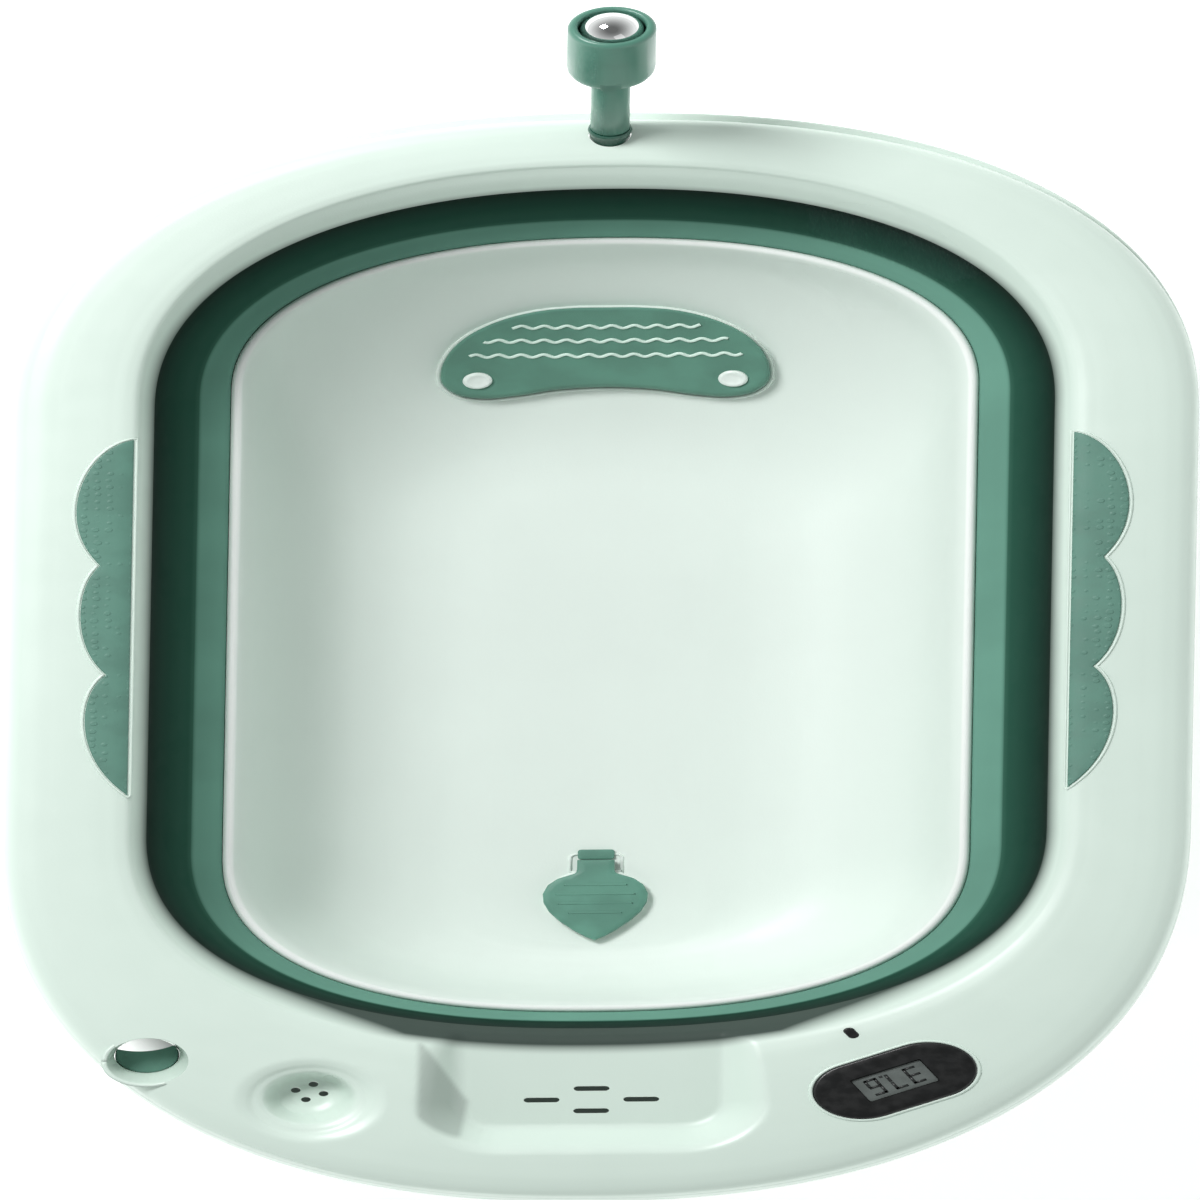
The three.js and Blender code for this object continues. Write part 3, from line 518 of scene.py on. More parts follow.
class Finish:
    """A procedural material: colour that varies a little, fine grain in the gloss and a micro relief."""

    def __init__(self, name, color, roughness, **sockets):
        self.name = name
        self.material = bpy.data.materials.new(name)
        self.material.use_nodes = True
        self.nodes = self.material.node_tree.nodes
        self.links = self.material.node_tree.links
        self.shader = self.nodes["Principled BSDF"]
        self.shader.inputs["Base Color"].default_value = linear(*color)
        self.shader.inputs["Roughness"].default_value = roughness
        for socket, value in sockets.items():
            self.shader.inputs[SOCKETS.get(socket, socket.replace("_", " ").title())].default_value = value
        self.color = color
        self.roughness = roughness
        self.place = self.nodes.new("ShaderNodeTexCoord").outputs["Object"]
        self.normal = None

    def noise(self, scale, detail=3.0):
        texture = self.nodes.new("ShaderNodeTexNoise")
        texture.inputs["Scale"].default_value = scale
        texture.inputs["Detail"].default_value = detail
        self.links.new(self.place, texture.inputs["Vector"])
        return texture.outputs["Fac"]

    def math(self, operation, first, second=None):
        node = self.nodes.new("ShaderNodeMath")
        node.operation = operation
        for socket, value in zip(node.inputs, (first, second)):
            if isinstance(value, (int, float)):
                socket.default_value = value
            elif value is not None:
                self.links.new(value, socket)
        return node.outputs["Value"]

    def ramp(self, source, low, high, at=(0.35, 0.65)):
        ramp = self.nodes.new("ShaderNodeValToRGB")
        ramp.color_ramp.interpolation = "EASE"
        for element, color, place in zip(ramp.color_ramp.elements, (low, high), at):
            element.color = color
            element.position = place
        self.links.new(source, ramp.inputs["Fac"])
        return ramp.outputs["Color"]

    def mottle(self, amount, scale=9.0, detail=3.0):
        low = linear(*(max(value * (1 - amount), 0) for value in self.color))
        high = linear(*(min(value * (1 + amount), 255) for value in self.color))
        self.links.new(self.ramp(self.noise(scale, detail), low, high), self.shader.inputs["Base Color"])
        return self

    def gloss(self, spread, scale=40.0):
        low, high = self.roughness - spread, self.roughness + spread
        shades = self.ramp(self.noise(scale), (low,) * 3 + (1,), (high,) * 3 + (1,))
        self.links.new(shades, self.shader.inputs["Roughness"])
        return self

    def relief(self, height_mm, scale, detail=2.0, source=None):
        bump = self.nodes.new("ShaderNodeBump")
        bump.inputs["Distance"].default_value = height_mm * MM
        bump.inputs["Strength"].default_value = 1.0
        self.links.new(source or self.noise(scale, detail), bump.inputs["Height"])
        if self.normal is not None:
            self.links.new(self.normal, bump.inputs["Normal"])
        self.normal = bump.outputs["Normal"]
        self.links.new(self.normal, self.shader.inputs["Normal"])
        return self

    def painted(self, stops):
        """Lays painted shade and painted highlight over the colour by each point's "shade", as (place,
        colour, strength) stops.
        """
        ramp = self.nodes.new("ShaderNodeValToRGB")
        while len(ramp.color_ramp.elements) < len(stops):
            ramp.color_ramp.elements.new(0.5)
        for element, (place, color, strength) in zip(ramp.color_ramp.elements, stops):
            element.position = place
            element.color = (*linear(*color)[:3], strength)
        shade = self.nodes.new("ShaderNodeAttribute")
        shade.attribute_name = "shade"
        self.links.new(shade.outputs["Fac"], ramp.inputs["Fac"])
        blend = self.nodes.new("ShaderNodeMix")
        blend.data_type = "RGBA"
        base = self.shader.inputs["Base Color"]
        self.links.new(ramp.outputs["Alpha"], blend.inputs["Factor"])
        self.links.new(base.links[0].from_socket, blend.inputs["A"])
        self.links.new(ramp.outputs["Color"], blend.inputs["B"])
        self.links.new(blend.outputs["Result"], base)
        matt = self.math("MULTIPLY", ramp.outputs["Alpha"], 0.8)
        gloss = self.shader.inputs["Roughness"]
        self.links.new(self.math("MAXIMUM", gloss.links[0].from_socket, matt), gloss)
        return self

    def dots(self, height_mm, scale, size=0.28):
        cells = self.nodes.new("ShaderNodeTexVoronoi")
        cells.inputs["Scale"].default_value = scale
        cells.inputs["Randomness"].default_value = 0.25
        self.links.new(self.place, cells.inputs["Vector"])
        domes = self.ramp(cells.outputs["Distance"], (1, 1, 1, 1), (0, 0, 0, 1), (size, size + 0.12))
        return self.relief(height_mm, 1, source=domes)


# Painted shade down the folding wall: deep under the rim and lighter on the ledge beside the tray.
WALL_SHADES = [(0, (2, 20, 14), 0.98), (0.12, (2, 28, 20), 0.98), (0.5, (18, 58, 46), 0.97),
               (0.8, (34, 76, 62), 0.95), (0.845, (44, 86, 71), 0.9), (0.875, (104, 152, 136), 0)]


def make_finishes():
    mint, mint_light, green = (213, 228, 219), (229, 239, 233), (88, 131, 117)
    # Painted shade for the rim's inner slope, and a painted highlight for the tray's lip.
    slope_shade, painted_lip_highlight = (36, 54, 47), (252, 255, 253)
    return [
        Finish("rim_plastic", mint, 0.36, coat_weight=0.05, coat_roughness=0.3)
        .mottle(0.006, 7).gloss(0.05).relief(0.02, 900)
        .painted([(0, slope_shade, 0), (1, slope_shade, 0.97)]),
        Finish("tray_plastic", mint_light, 0.5, coat_weight=0.05, coat_roughness=0.3)
        .mottle(0.006, 6).gloss(0.05).relief(0.02, 1100)
        .painted([(0, painted_lip_highlight, 0), (1, painted_lip_highlight, 0.9)]),
        Finish("wall_tpe", (106, 153, 137), 0.75, specular_ior_level=0.08)
        .mottle(0.03, 12).gloss(0.07).relief(0.004, 500).painted(WALL_SHADES),
        Finish("grip_tpe", green, 0.58, sheen_weight=0.12)
        .mottle(0.03, 60).gloss(0.06, 120).relief(0.03, 900).dots(0.3, 190),
        Finish("plug_tpe", (92, 142, 126), 0.5, sheen_weight=0.1)
        .mottle(0.04, 50).gloss(0.06, 100).relief(0.04, 900),
        Finish("cushion_foam", (91, 140, 123), 0.66, sheen_weight=0.2)
        .mottle(0.035, 45).gloss(0.05, 90).relief(0.05, 1400, 4),
        Finish("wave_tpe", (212, 234, 223), 0.5).mottle(0.01, 60).gloss(0.05).relief(0.02, 900),
        Finish("stand_plastic", (79, 128, 112), 0.34, coat_weight=0.2, coat_roughness=0.15)
        .mottle(0.02, 40).gloss(0.04).relief(0.004, 900),
        Finish("collar_plastic", (38, 84, 70), 0.3, coat_weight=0.3, coat_roughness=0.15)
        .mottle(0.04, 60).gloss(0.05).relief(0.012, 1200),
        Finish("white_plastic", (240, 249, 244), 0.3, coat_weight=0.2, coat_roughness=0.1)
        .mottle(0.006, 40).gloss(0.05).relief(0.01, 1200),
        Finish("black_plastic", (13, 14, 15), 0.36, coat_weight=0.12, coat_roughness=0.2)
        .mottle(0.2, 80).gloss(0.06, 150).relief(0.01, 1500),
        Finish("lcd_panel", (96, 102, 100), 0.28, coat_weight=0.3, coat_roughness=0.1)
        .mottle(0.05, 120).gloss(0.04).relief(0.004, 2500),
        Finish("lcd_ink", (28, 31, 31), 0.35).mottle(0.1, 200).gloss(0.04),
        Finish("circuit_board", (40, 104, 66), 0.45).mottle(0.12, 160).gloss(0.06),
        Finish("steel", (186, 188, 190), 0.28, metallic=1.0).mottle(0.05, 200).gloss(0.08, 300)
        .relief(0.01, 1500),
        Finish("chrome", (228, 227, 228), 0.05, metallic=1.0).mottle(0.015, 90).gloss(0.02, 60),
    ]


FINISHES = {finish.name: finish for finish in make_finishes()}


def give(thing, body, finish, *nodes):
    """Gives a finished piece its material, the body it rides on and the CAD nodes it stands for."""
    thing.data.materials.clear()
    thing.data.materials.append(FINISHES[finish].material)
    if body:
        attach(thing, body)
    if nodes:
        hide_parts(*nodes)
    return thing


def paint(thing, shade):
    """Stores each point's "shade", 0 to 1, from its place in the tub's millimetres and its depth; it sets how
    strongly the finish lays its painted shade, on the tray its painted highlight.
    """
    points = np.empty(len(thing.data.vertices) * 3)
    thing.data.vertices.foreach_get("co", points)
    points = points.reshape(-1, 3) / MM - (0, SHIFT_Y, 0)
    values = shade(points[:, 0], points[:, 1], RIM_TOP - points[:, 2])
    attribute = thing.data.attributes.new("shade", "FLOAT", "POINT")
    attribute.data.foreach_set("value", np.clip(values, 0, 1).astype(np.float32))


def inner_shade(x, y, depth):
    """Shade on the rim's inner slope: strongest at the foot, a soft edge at the sides, least at the head."""
    opening, bore = ring_reach(OPENING, x, y), ring_reach(BORE, x, y)
    share = (1 - opening) / np.maximum(bore - opening, 1e-6)
    start = np.interp(y, (-120, 230, 330), (0.1, 0.25, 0.75))
    span = np.interp(y, (-120, 230, 330), (0.9, 0.8, 0.4))
    low = np.interp(y, (-285, -250), (1, 0)) * np.interp(np.abs(x), (80, 180), (1, 0))
    return np.clip((share - mix(start, -0.25, low)) / mix(span, 0.4, low), 0, 1) ** 1.3


def tray_shade(x, y):
    """Shade on the soap tray's left wall, which starts as a point at the tub and widens towards the foot."""
    right = np.interp(y, (-364, -336, -290), (-54, -51, -72.5))
    low = -367 + 0.038 * np.clip(-54 - x, 0, None) ** 2
    inside = np.clip((right - x) / 3, 0, 1) * np.clip((x + 75.5) / 3, 0, 1) * np.clip((y - low) / 5, 0, 1)
    return 0.36 * inside * (y < -286)


def wall_shade(x, y, depth):
    """Shade down the folding wall, from 0 under the rim to 1 at the tray, darker towards the foot."""
    share = (depth - RIM_BORE_DEPTH) / (TRAY_EDGE_DEPTH - RIM_BORE_DEPTH)
    return np.where(share < 0.83, share * np.interp(y, (-270, -200), (0.4, 1)), share)


def join(things):
    first = things[0]
    work = bmesh.new()
    for thing in things:
        work.from_mesh(thing.data)
    work.to_mesh(first.data)
    work.free()
    for thing in things[1:]:
        bpy.data.objects.remove(thing)
    return first


# ---- the rim's openings and what sits in them ----
def notch_circle(depth):
    """Radius and shift towards the head of the notch's wall at a depth."""
    return (np.interp(depth, (-6, 1, 20), (NOTCH["mouth"] + 1, NOTCH["mouth"], NOTCH["floor"])),
            np.interp(depth, (1, 20), (0, NOTCH["rise"])))


def notch_cutter(extra):
    loops = []
    for depth in (-6, 1, 6, 11, 16, 20, SKIRT_DEPTH + 4):
        radius, shift = notch_circle(depth)
        outline = circle(NOTCH["x"], NOTCH["y"] + shift, radius + extra, 96)
        loops.append(level_loop(outline, RIM_TOP - depth))
    return loft("notch_cutter", loops)


def notch_lining():
    """The wall of the notch from just under the crown down to the lower ring's edge."""
    angles = np.radians(np.arange(-180, 180, 0.5))
    steps = 60
    sides = []
    for depth in [1.6, 4, 8, 12, 16, 20, 26, 32, SKIRT_DEPTH]:
        radius, shift = notch_circle(depth)
        middle = np.array([NOTCH["x"], NOTCH["y"] + shift])
        spots = middle + radius * ray(angles)
        kept = angles[ring_reach(grow(OUTLINE, -0.4), spots[:, 0], spots[:, 1]) < 1]
        walk = ray(np.linspace(kept[0], kept[-1], steps))
        sides.append([level_loop(middle + (radius + out) * walk, RIM_TOP - depth) for out in (0.03, 2.2)])
    loops = [np.array([inner[k] for inner, _ in sides] + [outer[k] for _, outer in reversed(sides)])
             for k in range(steps)]
    return loft("notch_lining", loops)


def make_notch():
    give(notch_lining(), "rim", "rim_plastic")
    level = RIM_TOP - 34
    clip = lathe("clip", [(0, level), (13.2, level), (13.6, level + 0.5), (13.6, level + 10.6),
                          (13.2, level + 11.7), (12.2, level + 12), (0, level + 12)], 96,
                 NOTCH["x"], NOTCH["y"] + NOTCH["rise"])
    bite = prism("bite", circle(NOTCH["x"] - 3, NOTCH["y"] + 35, 25, 96), level - 5, RIM_TOP)
    cut(clip, [bite])
    crease(clip, 40)
    give(clip, "rim", "grip_tpe", "hose_clip")


SLOT_SPOTS = [(-21.2, -335.3), (0, -327), (21.2, -335.3), (0, -343.6)]
CUP_HOLES = [(-5.9, 1.5), (1.6, 5.8), (6, -1.3), (-1.5, -5.6)]
CUP_DRIFT = 9
PROBE = dict(x=110, y=-288.5, length=8.2, width=4.4, turn=DISPLAY["turn"] + 90)


def set_up(thing, place, turn):
    """Turns a piece that was made upright on the origin, and moves its foot to a place."""
    foot, start = (Vector(world([spot])[0]) for spot in (place, (0, 0, 0)))
    thing.data.transform(Matrix.Translation(foot) @ turn @ Matrix.Translation(-start))
    return thing


def lean(thing):
    """Sets a piece up in the shower stand's socket."""
    return set_up(thing, (0, STAND["y"], RIM_TOP), Matrix.Rotation(math.radians(-STAND["lean"]), 4, "X"))


def rim_cutters():
    low, high = RIM_TOP - 45, RIM_TOP + 10
    cutters = [prism("slot", stadium(x, y, 15.3, 3.8, steps=10), low, high) for x, y in SLOT_SPOTS]
    cutters += [prism("hole", circle(CUP["x"] + x, CUP["y"] + CUP_DRIFT + y, 2.1, 28), low, high)
                for x, y in CUP_HOLES]
    cutters.append(prism("probe_hole", stadium_of(PROBE, 0.6, 12), low, high))
    cutters.append(prism("window", stadium_of(DISPLAY, 0.8), low, high))
    cutters.append(lean(prism("socket_hole", circle(0, 0, 9.1), -30, 30)))
    return join(cutters)


def make_rim_pieces():
    rim = make_rim()
    surface = over(rim)
    cut(rim, [rim_cutters(), notch_cutter(0)])
    crease(rim, 38)
    paint(rim, lambda x, y, depth: np.maximum(inner_shade(x, y, depth), tray_shade(x, y)))
    give(rim, "rim", "rim_plastic", "rim_shell")
    make_notch()
    make_lower_ring()
    return surface


def band(name, ring, start, end, depth, height, soft=0.8):
    """A flat ring that follows a ring line, from start to end outside it, with rounded edges."""
    low = depth + height
    corners = [(start, depth, 1, 1), (end, depth, -1, 1), (end, low, -1, -1), (start, low, 1, -1)]
    loops = []
    for quarter, (out, down, to_x, to_z) in enumerate(corners):
        for step in (0, 0.5, 1):
            angle = math.pi / 2 * (quarter + step)
            in_x, in_z = (soft * (1 - abs(turn)) for turn in (math.cos(angle), math.sin(angle)))
            loops.append(ring_loop(grow(ring, out + to_x * in_x), down + to_z * in_z))
    return loft(name, loops, looped=True)


def make_lower_ring():
    inner = grow(OUTLINE, -SHELL - 0.3)
    top = RIM_EDGE_DEPTH + 0.3
    outside = [(0, SKIRT_DEPTH - 1), (0, top + 2.4), (-0.15, top + 1.5), (-0.5, top + 0.8), (-1, top + 0.3),
               (-1.7, top)]
    loops = [ring_loop(grow(LIP_LINE, out), depth) for out, depth in outside]
    loops += [ring_loop(inner, top), ring_loop(inner, SKIRT_DEPTH)]
    loops.append(ring_loop(grow(LIP_LINE, -1), SKIRT_DEPTH))
    ring = loft("lower_ring", loops, looped=True)
    cut(ring, [notch_cutter(2.4)])
    crease(ring, 45)
    give(ring, "rim", "rim_plastic", "rim_lower_ring")


# ---- grips: three scallops along the straight inner edge ----
GRIP_EDGE = 199.5
GRIP_STOPS = [(GRIP_EDGE, 165), (213.8, 69.5), (210.4, -13), (GRIP_EDGE, -105)]
GRIP_HANDLES = [((221, 160), (235, 104)), ((224.5, 54), (225.5, 8)), ((223, -28), (224, -78))]


def grip_outline(sign):
    t = np.linspace(0, 1, 40, endpoint=False)[:, None]
    lobes = []
    for start, handles, end in zip(GRIP_STOPS, GRIP_HANDLES, GRIP_STOPS[1:]):
        start, first, second, end = (np.array(point, float) for point in (start, *handles, end))
        lobes.append((1 - t) ** 3 * start + 3 * t * (1 - t) ** 2 * first
                     + 3 * t ** 2 * (1 - t) * second + t ** 3 * end)
    outline = np.vstack([*lobes, [GRIP_STOPS[-1]]])
    return even(outline * (sign, 1), 1.6)


def make_grips(surface):
    for side, sign in SIDES:
        outline = anticlockwise(grip_outline(sign))
        grip = patch(f"grip_pad_{side}", moved_out(outline, -0.4), surface, 0.9, 3.4, 0.8, 3.2)
        give(grip, "rim", "grip_tpe", f"grip_{side}")
        lip = laid(*moved_out(outline, 0.7).T, surface, 0.05)
        give(bead(f"grip_lip_{side}", lip, 0.75), "rim", "rim_plastic")


# ---- the folding wall and the base tray ----
WALL_STEPS = dict(head=300, side=40, foot=300)


def make_wall():
    low = grow(TRAY_LINE, 5.3)
    width = 40

    def walk(stops, count):
        stops = [(share * width, depth, out) for share, depth, out in stops]
        return [ring_loop(grow(blend_ring(BORE, low, across / width), out), depth, **WALL_STEPS)
                for across, depth, out in smooth_through(stops, np.linspace(0, 1, count))]

    top = RIM_BORE_DEPTH + 0.3
    bottom = TRAY_EDGE_DEPTH + 3.6
    inside = walk([(0, top, 0), (0.03, 31, 0), (0.16, 46, 0), (0.36, 63, 0), (0.52, 74.6, 0), (0.6, 78.6, 0),
                   (0.7, 81, 0), (0.85, 84, 0), (1, 88.4, 0), (1.0, bottom, 0)], 56)
    outside = walk([(1, bottom + 3, 3.3), (0.97, 90, 2.4), (0.8, 87, 1.4), (0.6, 83.6, 1.8), (0.5, 79, 2.6),
                    (0.36, 70, 3), (0.16, 51, 3), (0.05, 36, 3), (0, top + 3, 3.2)], 30)
    foot = [ring_loop(grow(TRAY_LINE, 1), depth, **WALL_STEPS) for depth in (bottom, bottom + 3)]
    flange = [ring_loop(grow(BORE, 9), depth, **WALL_STEPS) for depth in (top + 3, top)]
    wall = loft("wall", inside + foot + outside + flange, looped=True)
    crease(wall, 60)
    paint(wall, wall_shade)
    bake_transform(wall)
    give(wall, None, "wall_tpe", "folding_wall")
    ring = band("wall_ring", BORE, 3.8, 9, RIM_BORE_DEPTH + 3.9, 4)
    give(ring, "rim", "rim_plastic", "wall_clamp_ring")


def bowl_ring(side, head, foot):
    ring = grow(TRAY_LINE, -side, -head, -foot)
    share = ring["half"] / TRAY_LINE["half"]
    ring["yHead"] = ring["head"] - (TRAY_LINE["head"] - TRAY_LINE["yHead"]) * share
    ring["yFoot"] = ring["foot"] + (TRAY_LINE["yFoot"] - TRAY_LINE["foot"]) * share
    return ring


def bowl_rows(count, first=0):
    return smooth_through(BOWL[first:], np.linspace(0, 1, count))


# The tray's rolled lip, from under its outer edge over to the inside: out from the line, below the edge.
LIP = [(0.6, 8), (0.6, 3.3), (4.2, 3.3), (5, 2.7), (5, 1.4), (4.4, 0.3), (3.2, -0.4), (1.9, -0.5),
       (0.8, -0.1)]
TRAY_STEPS = dict(head=240, side=40, foot=240)


def make_tray():
    outside = [ring_loop(grow(bowl_ring(side, head, foot), 2.4, 0.6, 2.4), depth + 4, **TRAY_STEPS)
               for side, head, foot, depth in bowl_rows(36, 2)[::-1]]
    lip = [ring_loop(grow(TRAY_LINE, out), TRAY_EDGE_DEPTH + down, **TRAY_STEPS) for out, down in LIP]
    inside = [ring_loop(bowl_ring(side, head, foot), depth + 0.5 * (row == 0), **TRAY_STEPS)
              for row, (side, head, foot, depth) in enumerate(bowl_rows(90))]
    tray = loft("tray", outside + lip + inside)
    surface = over(tray)
    cut(tray, [prism("drain_hole", circle(0, DRAIN["y"], DRAIN["bore"] + 3.3), 0, 60)])
    crease(tray, 45)
    # Painted highlight along the top of the tray's lip, fading out just below it.
    paint(tray, lambda x, y, depth: (TRAY_EDGE_DEPTH + 0.15 - depth) * 2.5)
    give(tray, "base", "tray_plastic", "base_tray")
    ring = band("tray_ring", TRAY_LINE, 2, 8.6, TRAY_EDGE_DEPTH + 7, 4)
    give(ring, "base", "rim_plastic", "tray_clamp_ring")
    return surface


# ---- headrest cushion ----
CUSHION_HALF = [(0, 275.5), (14, 275.3), (28, 273.4), (44.7, 266.8), (57, 257.6), (64, 248.7),
                (68, 239.8), (70, 230.9), (69.2, 221.5), (63.5, 214.3), (52, 211.3), (38, 213.2),
                (20, 217.6), (0, 219.2)]
CUSHION_LIFT = 1.4
CUSHION_THICKNESS = 8
WAVES = [(261.7, 40), (251.8, 52), (241.3, 58)]
WAVE_LENGTH = 9.6


def make_cushion(surface):
    half = np.array(CUSHION_HALF, float)
    outline = np.vstack([half, (half * (-1, 1))[1:-1][::-1]])
    outline = smooth_through(outline, np.linspace(0, 1, 220, endpoint=False), closed=True)

    def dimples(x, y):
        away = [np.hypot(x - sign * SNAP["x"], y - SNAP["y"]) for sign in (1, -1)]
        return -1.1 * sum(np.exp(-(reach / 7.6) ** 6) for reach in away)

    thick = CUSHION_LIFT + CUSHION_THICKNESS
    pad = patch("cushion", outline, surface, thick, -CUSHION_LIFT, 2.6, 1.7, crown=dimples)
    give(pad, "cushion", "cushion_foam", "headrest_cushion")
    edge = laid(*moved_out(anticlockwise(even(outline, 2.2)), 0.9).T, surface, 0.3)
    give(bead("cushion_lip", edge, 1.2), "base", "tray_plastic")
    top = over(pad)
    for number, (y, reach) in enumerate(WAVES):
        x = np.linspace(-reach, reach, int(reach * 3))
        path = laid(x, y + np.sin(2 * np.pi * x / WAVE_LENGTH), top, 0.1)
        wave = bead(f"cushion_wave_{number + 1}", path, 1.1, closed=False, squash=0.55)
        give(wave, "cushion", "wave_tpe")
    for side, sign in SIDES:
        make_snap(f"snap_{side}", sign * SNAP["x"], SNAP["y"], top, f"cushion_snap_{side}")


def make_snap(name, x, y, top, node):
    span = 6
    heights = top(np.array([x - span, x + span, x, x]), np.array([y, y, y - span, y + span]))
    normal = Vector((heights[0] - heights[1], heights[2] - heights[3], 2 * span)).normalized()
    radius = SNAP["radius"]
    button = lathe(name, [(0, -5), (2.6, -5), (2.6, 0), (radius - 0.6, 0), (radius, 0.5), (radius, 1.4),
                          (radius - 0.5, 2.1), (radius - 1.6, 2.4), (radius - 2.3, 2.2), (radius - 3, 1.9),
                          (1.5, 1.8), (0, 1.8)], 64)
    place = laid(np.array([x]), np.array([y]), top)[0]
    crease(set_up(button, place, normal.to_track_quat("Z", "Y").to_matrix().to_4x4()), 50)
    give(button, "cushion", "white_plastic", node)


# ---- drain ----
FLOOR = RIM_TOP - TRAY_FLOOR_DEPTH
PLUG_LOW = FLOOR + 2.2
PLUG_HALF = [(0, -197), (4, -194.4), (9, -189.5), (15, -182.6), (19.5, -175.6), (22, -168.5), (22.4, -162),
             (20.4, -155.4), (16, -150.4), (11, -147.8), (8.4, -146.4), (8, -143.5), (8, -136.4)]
PLUG_RIBS = [(-155.6, 13.5), (-162.6, 17), (-169.6, 16), (-176.6, 11.5)]


def make_drain():
    y, bore, flange = DRAIN["y"], DRAIN["bore"], DRAIN["flange"]
    top = FLOOR + 1.9
    seat = lathe("seat", [(bore, top - 0.6), (bore + 0.6, top), (flange - 1, top), (flange, top - 0.7),
                          (flange, FLOOR + 0.3), (bore + 3, FLOOR + 0.3), (bore + 3, FLOOR - 12.9),
                          (bore, FLOOR - 12.9)], 96, 0, y, ring=True)
    crease(seat, 50)
    give(seat, "base", "tray_plastic", "drain_seat")
    half = np.array(PLUG_HALF, float)
    outline = np.vstack([half, (half * (-1, 1))[1:][::-1]])
    flap = patch("plug_flap", even(outline, 1.2), flat_at(PLUG_LOW), 3.4, 0, 0.9, 2.2,
                 crown=lambda x, y: 0.5 * np.exp(-(np.hypot(x, y - DRAIN["y"]) / 20) ** 2))
    stopper = lathe("stopper", [(radius, PLUG_LOW + rise) for radius, rise in (
        (0, -8.5), (11.4, -8.5), (12.2, -7.7), (12.4, -2), (12.4, 0.5), (0, 0.5))], 64, 0, y)
    crease(stopper, 50)
    lift = over(flap)
    ribs = []
    for number, (rib_y, reach) in enumerate(PLUG_RIBS):
        x = np.linspace(-reach, reach, 30)
        path = laid(x, np.full(30, rib_y), lift)
        ribs.append(bead(f"rib_{number}", path, 0.7, closed=False, squash=0.6))
    give(join([flap, stopper, *ribs]), "plug", "plug_tpe", "drain_plug")
    outline = even(rectangle(0, DRAIN["hinge_y"] + 4, 15.6, 7.4, radius=1.5), 0.8)
    strap = patch("strap", outline, flat_at(FLOOR + 0.3), 1.7, 0, 0.5, 2)
    give(strap, "base", "plug_tpe", "plug_strap")
    corner = rectangle(0, -139.5, 22, 15.6, radius=3, steps=8)
    corner = corner[corner[:, 1] > -145]
    path = level_loop(np.vstack([[(11, -147.6)], corner, [(-11, -147.6)]]), FLOOR + 0.1)
    give(bead("pocket_lip", path, 0.9, closed=False), "base", "tray_plastic")


# ---- thermometer ----
SEGMENTS = {"3": "abcdg", "7": "abc", "6": "acdefg"}


def segment_boxes(figure, x, width, height, line):
    """Rectangles of one seven segment figure whose lower left corner is at (x, 0)."""
    middle, gap = height / 2, line * 0.15
    bars = {
        "a": (x + gap, height - line, x + width - gap, height), "d": (x + gap, 0, x + width - gap, line),
        "g": (x + gap, middle - line / 2, x + width - gap, middle + line / 2),
        "b": (x + width - line, middle + gap, x + width, height - gap),
        "c": (x + width - line, gap, x + width, middle - gap),
        "f": (x, middle + gap, x + line, height - gap), "e": (x, gap, x + line, middle - gap),
    }
    return [bars[letter] for letter in SEGMENTS[figure]]


def make_digits(level):
    width, height, line, step = 6.2, 12.6, 1.5, 8.6
    boxes = segment_boxes("3", 0, width, height, line) + segment_boxes("7", step, width, height, line)
    boxes.append((2 * step - 1.6, 0, 2 * step - 0.1, line))
    boxes += segment_boxes("6", 2 * step + 1.4, width, height, line)
    middle = np.array([(2 * step + 1.4 + width) / 2, height / 2])
    bars = []
    for number, (x0, y0, x1, y1) in enumerate(boxes):
        corners = np.array([(x0, y0), (x1, y0), (x1, y1), (x0, y1)], float) - middle
        placed = turned(corners, DISPLAY["turn"] + 180) + (DISPLAY["x"], DISPLAY["y"])
        bars.append(prism(f"bar_{number}", placed, level, level + 0.12))
    return join(bars)


def make_thermometer(surface):
    x, y, turn = DISPLAY["x"], DISPLAY["y"], DISPLAY["turn"]
    bezel = patch("bezel", even(stadium_of(DISPLAY, -0.6, 40), 1.2), flat_at(RIM_TOP), 1.4, 6.5, 1.3, 3)
    window = prism("window", rectangle(x, y, 33.8, 18.8, turn, 0.8), RIM_TOP - 1.6, RIM_TOP + 5)
    cut(bezel, [window])
    crease(bezel, 40)
    give(bezel, "rim", "black_plastic", "thermometer_bezel")
    outline = even(rectangle(x, y, 33, 18, turn, 0.6), 1)
    panel = patch("lcd", outline, flat_at(RIM_TOP - 1.3), 1.1, 0, 0.2, 3)
    give(panel, "rim", "lcd_panel", "thermometer_lcd")
    give(make_digits(RIM_TOP - 0.2), "rim", "lcd_ink")
    lip = laid(*anticlockwise(even(stadium_of(DISPLAY, 1.4, 40), 1.5)).T, surface, 0.1)
    give(bead("display_lip", lip, 0.9), "rim", "rim_plastic")
    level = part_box("thermometer_probe")[1].z / MM - 0.9
    sensor = patch("sensor", stadium_of(PROBE, 0, 12), flat_at(level), 0.6, 9, 0.5, 1.2)
    give(sensor, "rim", "black_plastic", "thermometer_probe")


